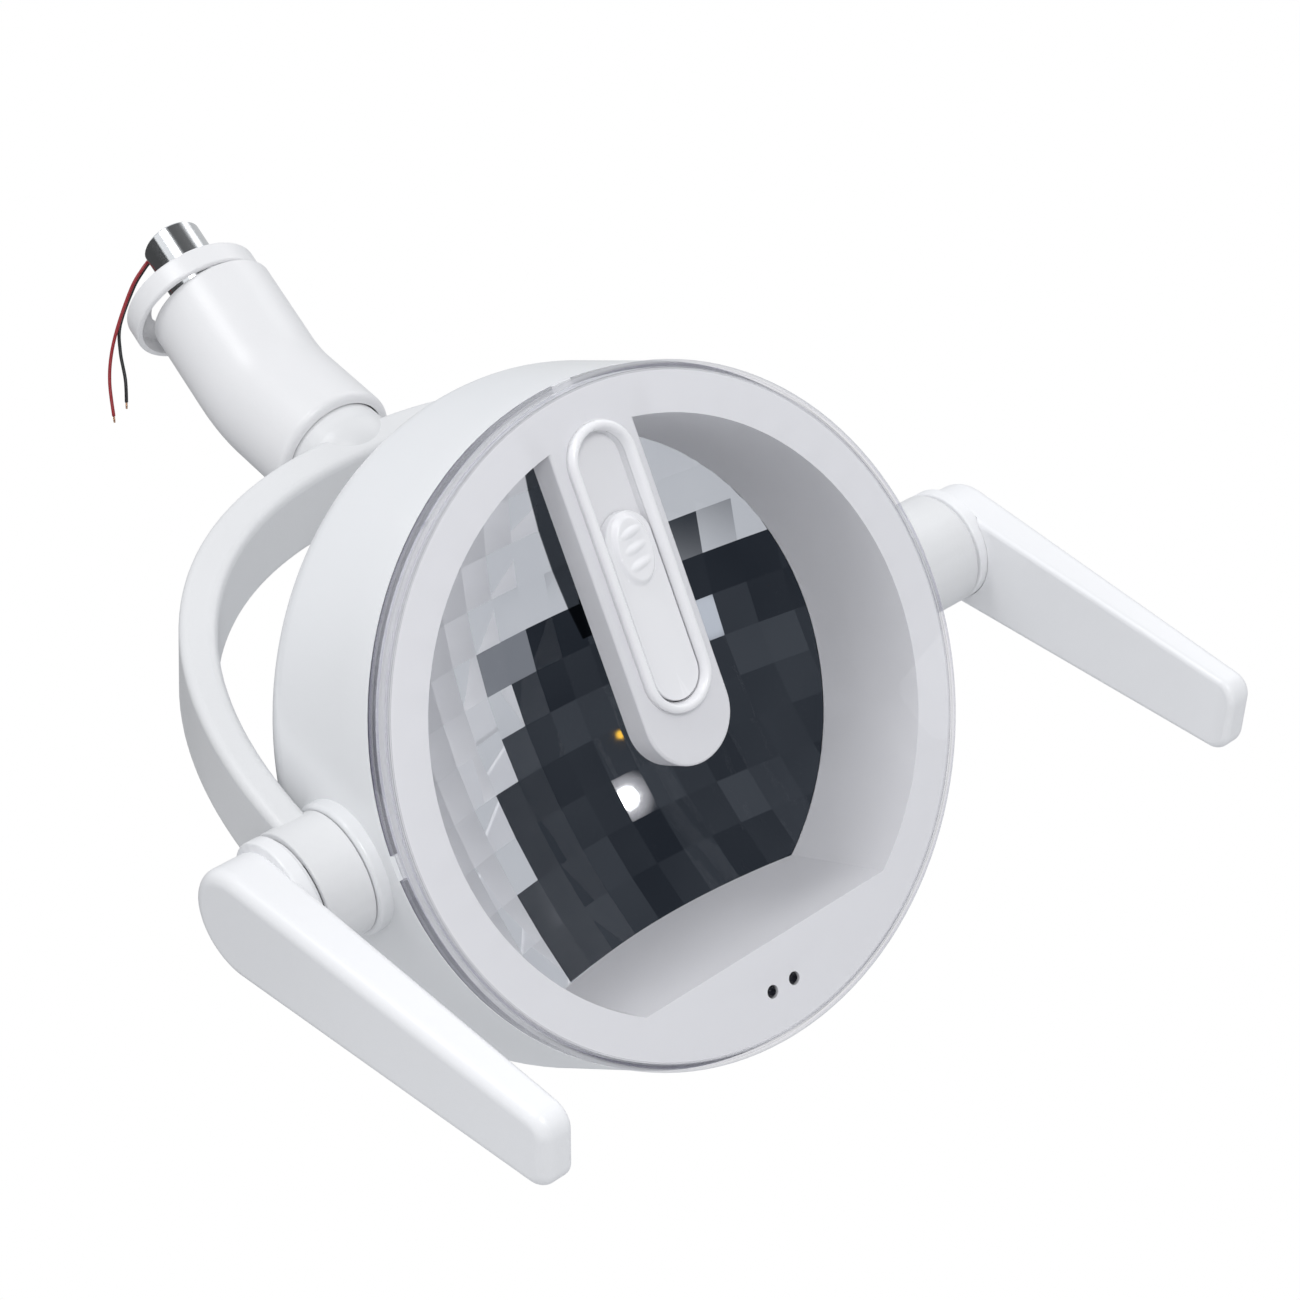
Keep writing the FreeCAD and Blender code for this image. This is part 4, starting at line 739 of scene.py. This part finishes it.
def sweep(path, radius, sides=12):
    """Round rod along a path, closed at both ends."""
    verts, faces = [], []
    up = Vector((0.31, 0.47, 0.83)).normalized()
    for i, p in enumerate(path):
        tangent = (path[min(i + 1, len(path) - 1)] - path[max(i - 1, 0)]).normalized()
        side = tangent.cross(up).normalized()
        other = side.cross(tangent).normalized()
        up = other
        for s in range(sides):
            a = 2 * math.pi * s / sides
            verts.append(p + side * (radius * math.cos(a)) + other * (radius * math.sin(a)))
    for i in range(len(path) - 1):
        for s in range(sides):
            a = i * sides + s
            b = i * sides + (s + 1) % sides
            faces.append([a, b, b + sides, a + sides])
    faces.append(list(range(sides))[::-1])
    faces.append(list(range((len(path) - 1) * sides, len(path) * sides)))
    return verts, faces


LEAD_TURN = math.radians(108.4)       # side of the pin that the leads leave on
LEAD_WAY = Vector((math.cos(LEAD_TURN), math.sin(LEAD_TURN), 0))
LEAD_R = 0.62 * MM
STRANDS = 5
STRAND_R = 0.16 * MM
STRAND_OFFSET = 0.24 * MM
STRAND_POINTS = [(1.0, -0.4), (1.1, 1.3), (0.8, 2.4)]       # (spread, mm past the insulation's end)


def lead(name, shift, drop, material, node):
    """Supply lead up through the pin, over its edge and down outside, with bare strands at its end."""
    hop = [(4.0, -30.0), (4.0, 0.0), (4.1, 14.0), (5.5, 21.6), (7.6, 23.3), (10.8, 23.8)]
    points = [LEAD_WAY * r + Vector((0, 0, z)) for r, z in hop]
    points += [Vector((-6.9, 14.0, 21.9)), Vector((-11.0, 19.6, 18.6)), Vector((-17.0, 29.8, 10.6))]
    points = [(p + Vector(shift)) * MM for p in points] + [Vector(p) * MM for p in drop]
    path = catmull(points)
    verts, faces = sweep(path, LEAD_R)
    make_piece(name, verts, faces, material, "mount", replaced=(node,))
    end = path[-1]
    way = (path[-1] - path[-2]).normalized()
    verts, faces = [], []
    for k in range(STRANDS):
        turn = 2 * math.pi * k / STRANDS
        side = way.orthogonal().normalized()
        off = (side * math.cos(turn) + way.cross(side) * math.sin(turn)) * STRAND_OFFSET
        strand = [end + off * spread + way * along * MM for spread, along in STRAND_POINTS]
        v, f = sweep(strand, STRAND_R, sides=6)
        faces += [[i + len(verts) for i in face] for face in f]
        verts += v
    make_piece(name + "_bare_end", verts, faces, COPPER, "mount")


lead("lead_red", (0, 0, 0), [(-20.9, 37.6, 3.4), (-23.2, 44.0, -4.2), (-24.4, 50.6, -14.3)],
     LEAD_RED, "supply_lead_red")
lead("lead_black", (1.35, 0.75, 0.3), [(-18.2, 35.4, 2.8), (-19.4, 40.0, -6.6), (-20.6, 44.9, -13.2)],
     LEAD_BLACK, "supply_lead_black")

# ---- stage, light and camera ---------------------------------------------------------------------
FLOOR_DROP = 0.30
FLOOR_HALF = 6
floor_z = CAD_BOX[0][2] - FLOOR_DROP
corners = [(x * FLOOR_HALF, y * FLOOR_HALF, floor_z) for x, y in ((-1, -1), (1, -1), (1, 1), (-1, 1))]
floor_mesh = bpy.data.meshes.new("floor")
floor_mesh.from_pydata(corners, [], [(0, 1, 2, 3)])
floor = bpy.data.objects.new("floor", floor_mesh)
bpy.context.scene.collection.objects.link(floor)
floor_mesh.materials.append(moulded("floor_paint", (0.90, 0.90, 0.90), rough=0.7, grain=0.0, cloud=0.01))
floor.visible_glossy = False


def camera_rig():
    """Camera below and to the left of the lamp, looking up at its front."""
    data = bpy.data.cameras.new("camera")
    data.sensor_width = 36.0
    data.lens = 74.215
    data.clip_start = 0.05
    cam = bpy.data.objects.new("camera", data)
    right = Vector((0.69328759, -0.47956056, -0.53793358)).normalized()
    away = Vector((0.69395524, 0.64558052, 0.31884306)).normalized()
    up = right.cross(away).normalized()
    cam.matrix_world = Matrix((
        (right.x, up.x, -away.x, -0.584543),
        (right.y, up.y, -away.y, -0.624525),
        (right.z, up.z, -away.z, -0.498443),
        (0, 0, 0, 1),
    ))
    bpy.context.scene.collection.objects.link(cam)
    bpy.context.scene.camera = cam


camera_rig()


def area(name, at, look, size, power):
    """Round lamp at a point, aimed at another."""
    data = bpy.data.lights.new(name, "AREA")
    data.shape = "DISK"
    data.size = size
    data.energy = power
    lamp = bpy.data.objects.new(name, data)
    lamp.location = at
    lamp.rotation_euler = (Vector(look) - Vector(at)).to_track_quat("-Z", "Y").to_euler()
    bpy.context.scene.collection.objects.link(lamp)
    return lamp


CENTRE = (Vector(CAD_BOX[0]) + Vector(CAD_BOX[1])) / 2


def around(x, y, z):
    """A point this far from the middle of the lamp, in metres."""
    return CENTRE + Vector((x, y, z))


key = area("key", around(-1.1, -0.9, 1.0), CENTRE, 0.6, 6)
fill = area("fill", around(1.2, -1.0, 0.6), CENTRE, 1.2, 4)
low_lamp = area("low", around(0.44, -1.41, -0.83), CENTRE, 0.16, 13)
front_lamp = area("front", around(-0.8, -1.3, -0.25), CENTRE, 0.5, 7.5)
shells = bpy.data.collections.new("lit_by_lamps")
for piece in bpy.context.scene.objects:
    if piece.type == "MESH" and piece.name not in ("reflector_facets", "clear_cover", "floor"):
        shells.objects.link(piece)
for lamp in (key, fill, low_lamp, front_lamp):
    lamp.light_linking.receiver_collection = shells


# small things in the room that the mirror shows: (direction, radius in degrees, colour)
SMALL_LIGHTS = [
    ((0.585, -0.428, -0.689), 7.2, (0.21, 0.225, 0.25)),
    ((0.092, -0.942, -0.323), 0.5, (0.45, 0.45, 0.47)),
    ((0.092, -0.942, -0.323), 0.21, (9.0, 9.0, 9.0)),
    ((-0.301, -0.524, -0.797), 0.55, (0.60, 0.64, 0.70)),
    ((0.125, -0.871, -0.475), 0.08, (1.6, 0.9, 0.1)),
]


def sky():
    """World light: white to the camera, a soft dome to matt surfaces, a half-dark room to shiny ones."""
    world = bpy.data.worlds.new("studio")
    bpy.context.scene.world = world
    world.use_nodes = True
    tree = world.node_tree
    tree.nodes.clear()
    links = tree.links
    way = add(tree, "ShaderNodeTexCoord")
    axes = add(tree, "ShaderNodeSeparateXYZ")
    links.new(way.outputs["Generated"], axes.inputs[0])
    x, y, z = axes.outputs[0], axes.outputs[1], axes.outputs[2]

    def calc(operation, a, b=0.0, c=0.0):
        node = add(tree, "ShaderNodeMath", operation=operation)
        for i, value in enumerate((a, b, c)):
            if isinstance(value, (int, float)):
                node.inputs[i].default_value = value
            else:
                links.new(value, node.inputs[i])
        return node.outputs[0]

    def step(value, low_edge, high_edge):
        node = add(tree, "ShaderNodeMapRange")
        node.interpolation_type = "SMOOTHSTEP"
        node.inputs["From Min"].default_value = low_edge
        node.inputs["From Max"].default_value = high_edge
        links.new(value, node.inputs["Value"])
        return node.outputs["Result"]

    wobble = add(tree, "ShaderNodeTexNoise")
    wobble.inputs["Scale"].default_value = 3.0
    wobble.inputs["Detail"].default_value = 4.0
    links.new(way.outputs["Generated"], wobble.inputs["Vector"])
    shift = calc("MULTIPLY_ADD", wobble.outputs["Fac"], 0.16, -0.08)
    x_right = calc("MAXIMUM", x, 0.0)
    x_left = calc("MAXIMUM", calc("MULTIPLY", x, -1.0), 0.0)
    edge = calc("ADD", calc("ADD", y, 0.25), calc("MULTIPLY", calc("MULTIPLY", x_right, x_right), 0.9))
    edge = calc("ADD", calc("SUBTRACT", edge, calc("MULTIPLY", x_left, 0.15)), shift)
    below = step(edge, -0.03, 0.03)
    right_side = step(x, -0.1, 0.15)
    left_side = step(x_left, 0.72, 0.82)
    behind = step(y, 0.55, 0.7)
    above = calc("MULTIPLY", calc("MAXIMUM", right_side, left_side), calc("SUBTRACT", 1.0, behind))
    high = step(z, 0.12, 0.22)
    top = step(z, 0.6, 0.9)
    level = add(tree, "ShaderNodeMix", data_type="FLOAT")
    links.new(high, level.inputs[0])
    links.new(below, level.inputs[2])
    links.new(above, level.inputs[3])
    bright = calc("MAXIMUM", level.outputs[0], top)
    patch = ramp(tree, wobble.outputs["Fac"], 0.35, 0.7, (0.016, 0.020, 0.027), (0.060, 0.068, 0.080))
    room_colour = add(tree, "ShaderNodeMix", data_type="RGBA")
    links.new(bright, room_colour.inputs["Factor"])
    links.new(patch.outputs["Color"], room_colour.inputs[6])
    room_colour.inputs[7].default_value = (0.60, 0.62, 0.65, 1)
    turn = calc("MULTIPLY_ADD", calc("ARCTAN2", y, x), 0.5 / math.pi, 0.5)
    walls = add(tree, "ShaderNodeValToRGB")
    stops = [(0.0, 1.0), (0.155, 1.0), (0.175, 0.13), (0.308, 0.16),
             (0.335, 0.62), (0.60, 0.62), (0.70, 0.07), (0.985, 0.07)]
    elements = walls.color_ramp.elements
    while len(elements) < len(stops):
        elements.new(0.5)
    for element, (position, level_here) in zip(elements, stops):
        element.position = position
        element.color = (level_here * 0.97, level_here * 0.99, level_here, 1)
    links.new(turn, walls.inputs["Fac"])
    upper = add(tree, "ShaderNodeMix", data_type="RGBA")
    under_top = calc("SUBTRACT", 1.0, step(z, 0.62, 0.7))
    links.new(calc("MULTIPLY", step(z, 0.40, 0.46), under_top), upper.inputs["Factor"])
    links.new(room_colour.outputs[2], upper.inputs[6])
    links.new(walls.outputs["Color"], upper.inputs[7])
    shown = upper.outputs[2]
    for aim, degrees, glow_colour in SMALL_LIGHTS:
        dot = add(tree, "ShaderNodeVectorMath", operation="DOT_PRODUCT")
        dot.inputs[1].default_value = Vector(aim).normalized()
        links.new(way.outputs["Generated"], dot.inputs[0])
        inside = math.cos(math.radians(degrees * 0.6))
        outside = math.cos(math.radians(degrees * 1.3))
        spot = add(tree, "ShaderNodeMix", data_type="RGBA")
        links.new(step(dot.outputs["Value"], outside, inside), spot.inputs["Factor"])
        links.new(shown, spot.inputs[6])
        spot.inputs[7].default_value = (*glow_colour, 1)
        shown = spot.outputs[2]
    room = add(tree, "ShaderNodeBackground")
    links.new(shown, room.inputs["Color"])
    dome = ramp(tree, calc("MULTIPLY_ADD", z, 0.5, 0.5), 0.15, 0.9, (0.27, 0.28, 0.30), (0.74, 0.75, 0.77))
    soft = add(tree, "ShaderNodeBackground")
    links.new(dome.outputs["Color"], soft.inputs["Color"])
    white = add(tree, "ShaderNodeBackground", Color=(1, 1, 1, 1), Strength=1.0)
    rays = add(tree, "ShaderNodeLightPath")
    shiny = add(tree, "ShaderNodeMixShader")
    no_matt_before = calc("LESS_THAN", rays.outputs["Diffuse Depth"], 0.5)
    links.new(calc("MULTIPLY", rays.outputs["Is Glossy Ray"], no_matt_before), shiny.inputs[0])
    links.new(soft.outputs[0], shiny.inputs[1])
    links.new(room.outputs[0], shiny.inputs[2])
    seen = add(tree, "ShaderNodeMixShader")
    links.new(rays.outputs["Is Camera Ray"], seen.inputs[0])
    links.new(shiny.outputs[0], seen.inputs[1])
    links.new(white.outputs[0], seen.inputs[2])
    out = add(tree, "ShaderNodeOutputWorld")
    links.new(seen.outputs[0], out.inputs["Surface"])


sky()

bpy.context.scene.view_settings.view_transform = "Standard"
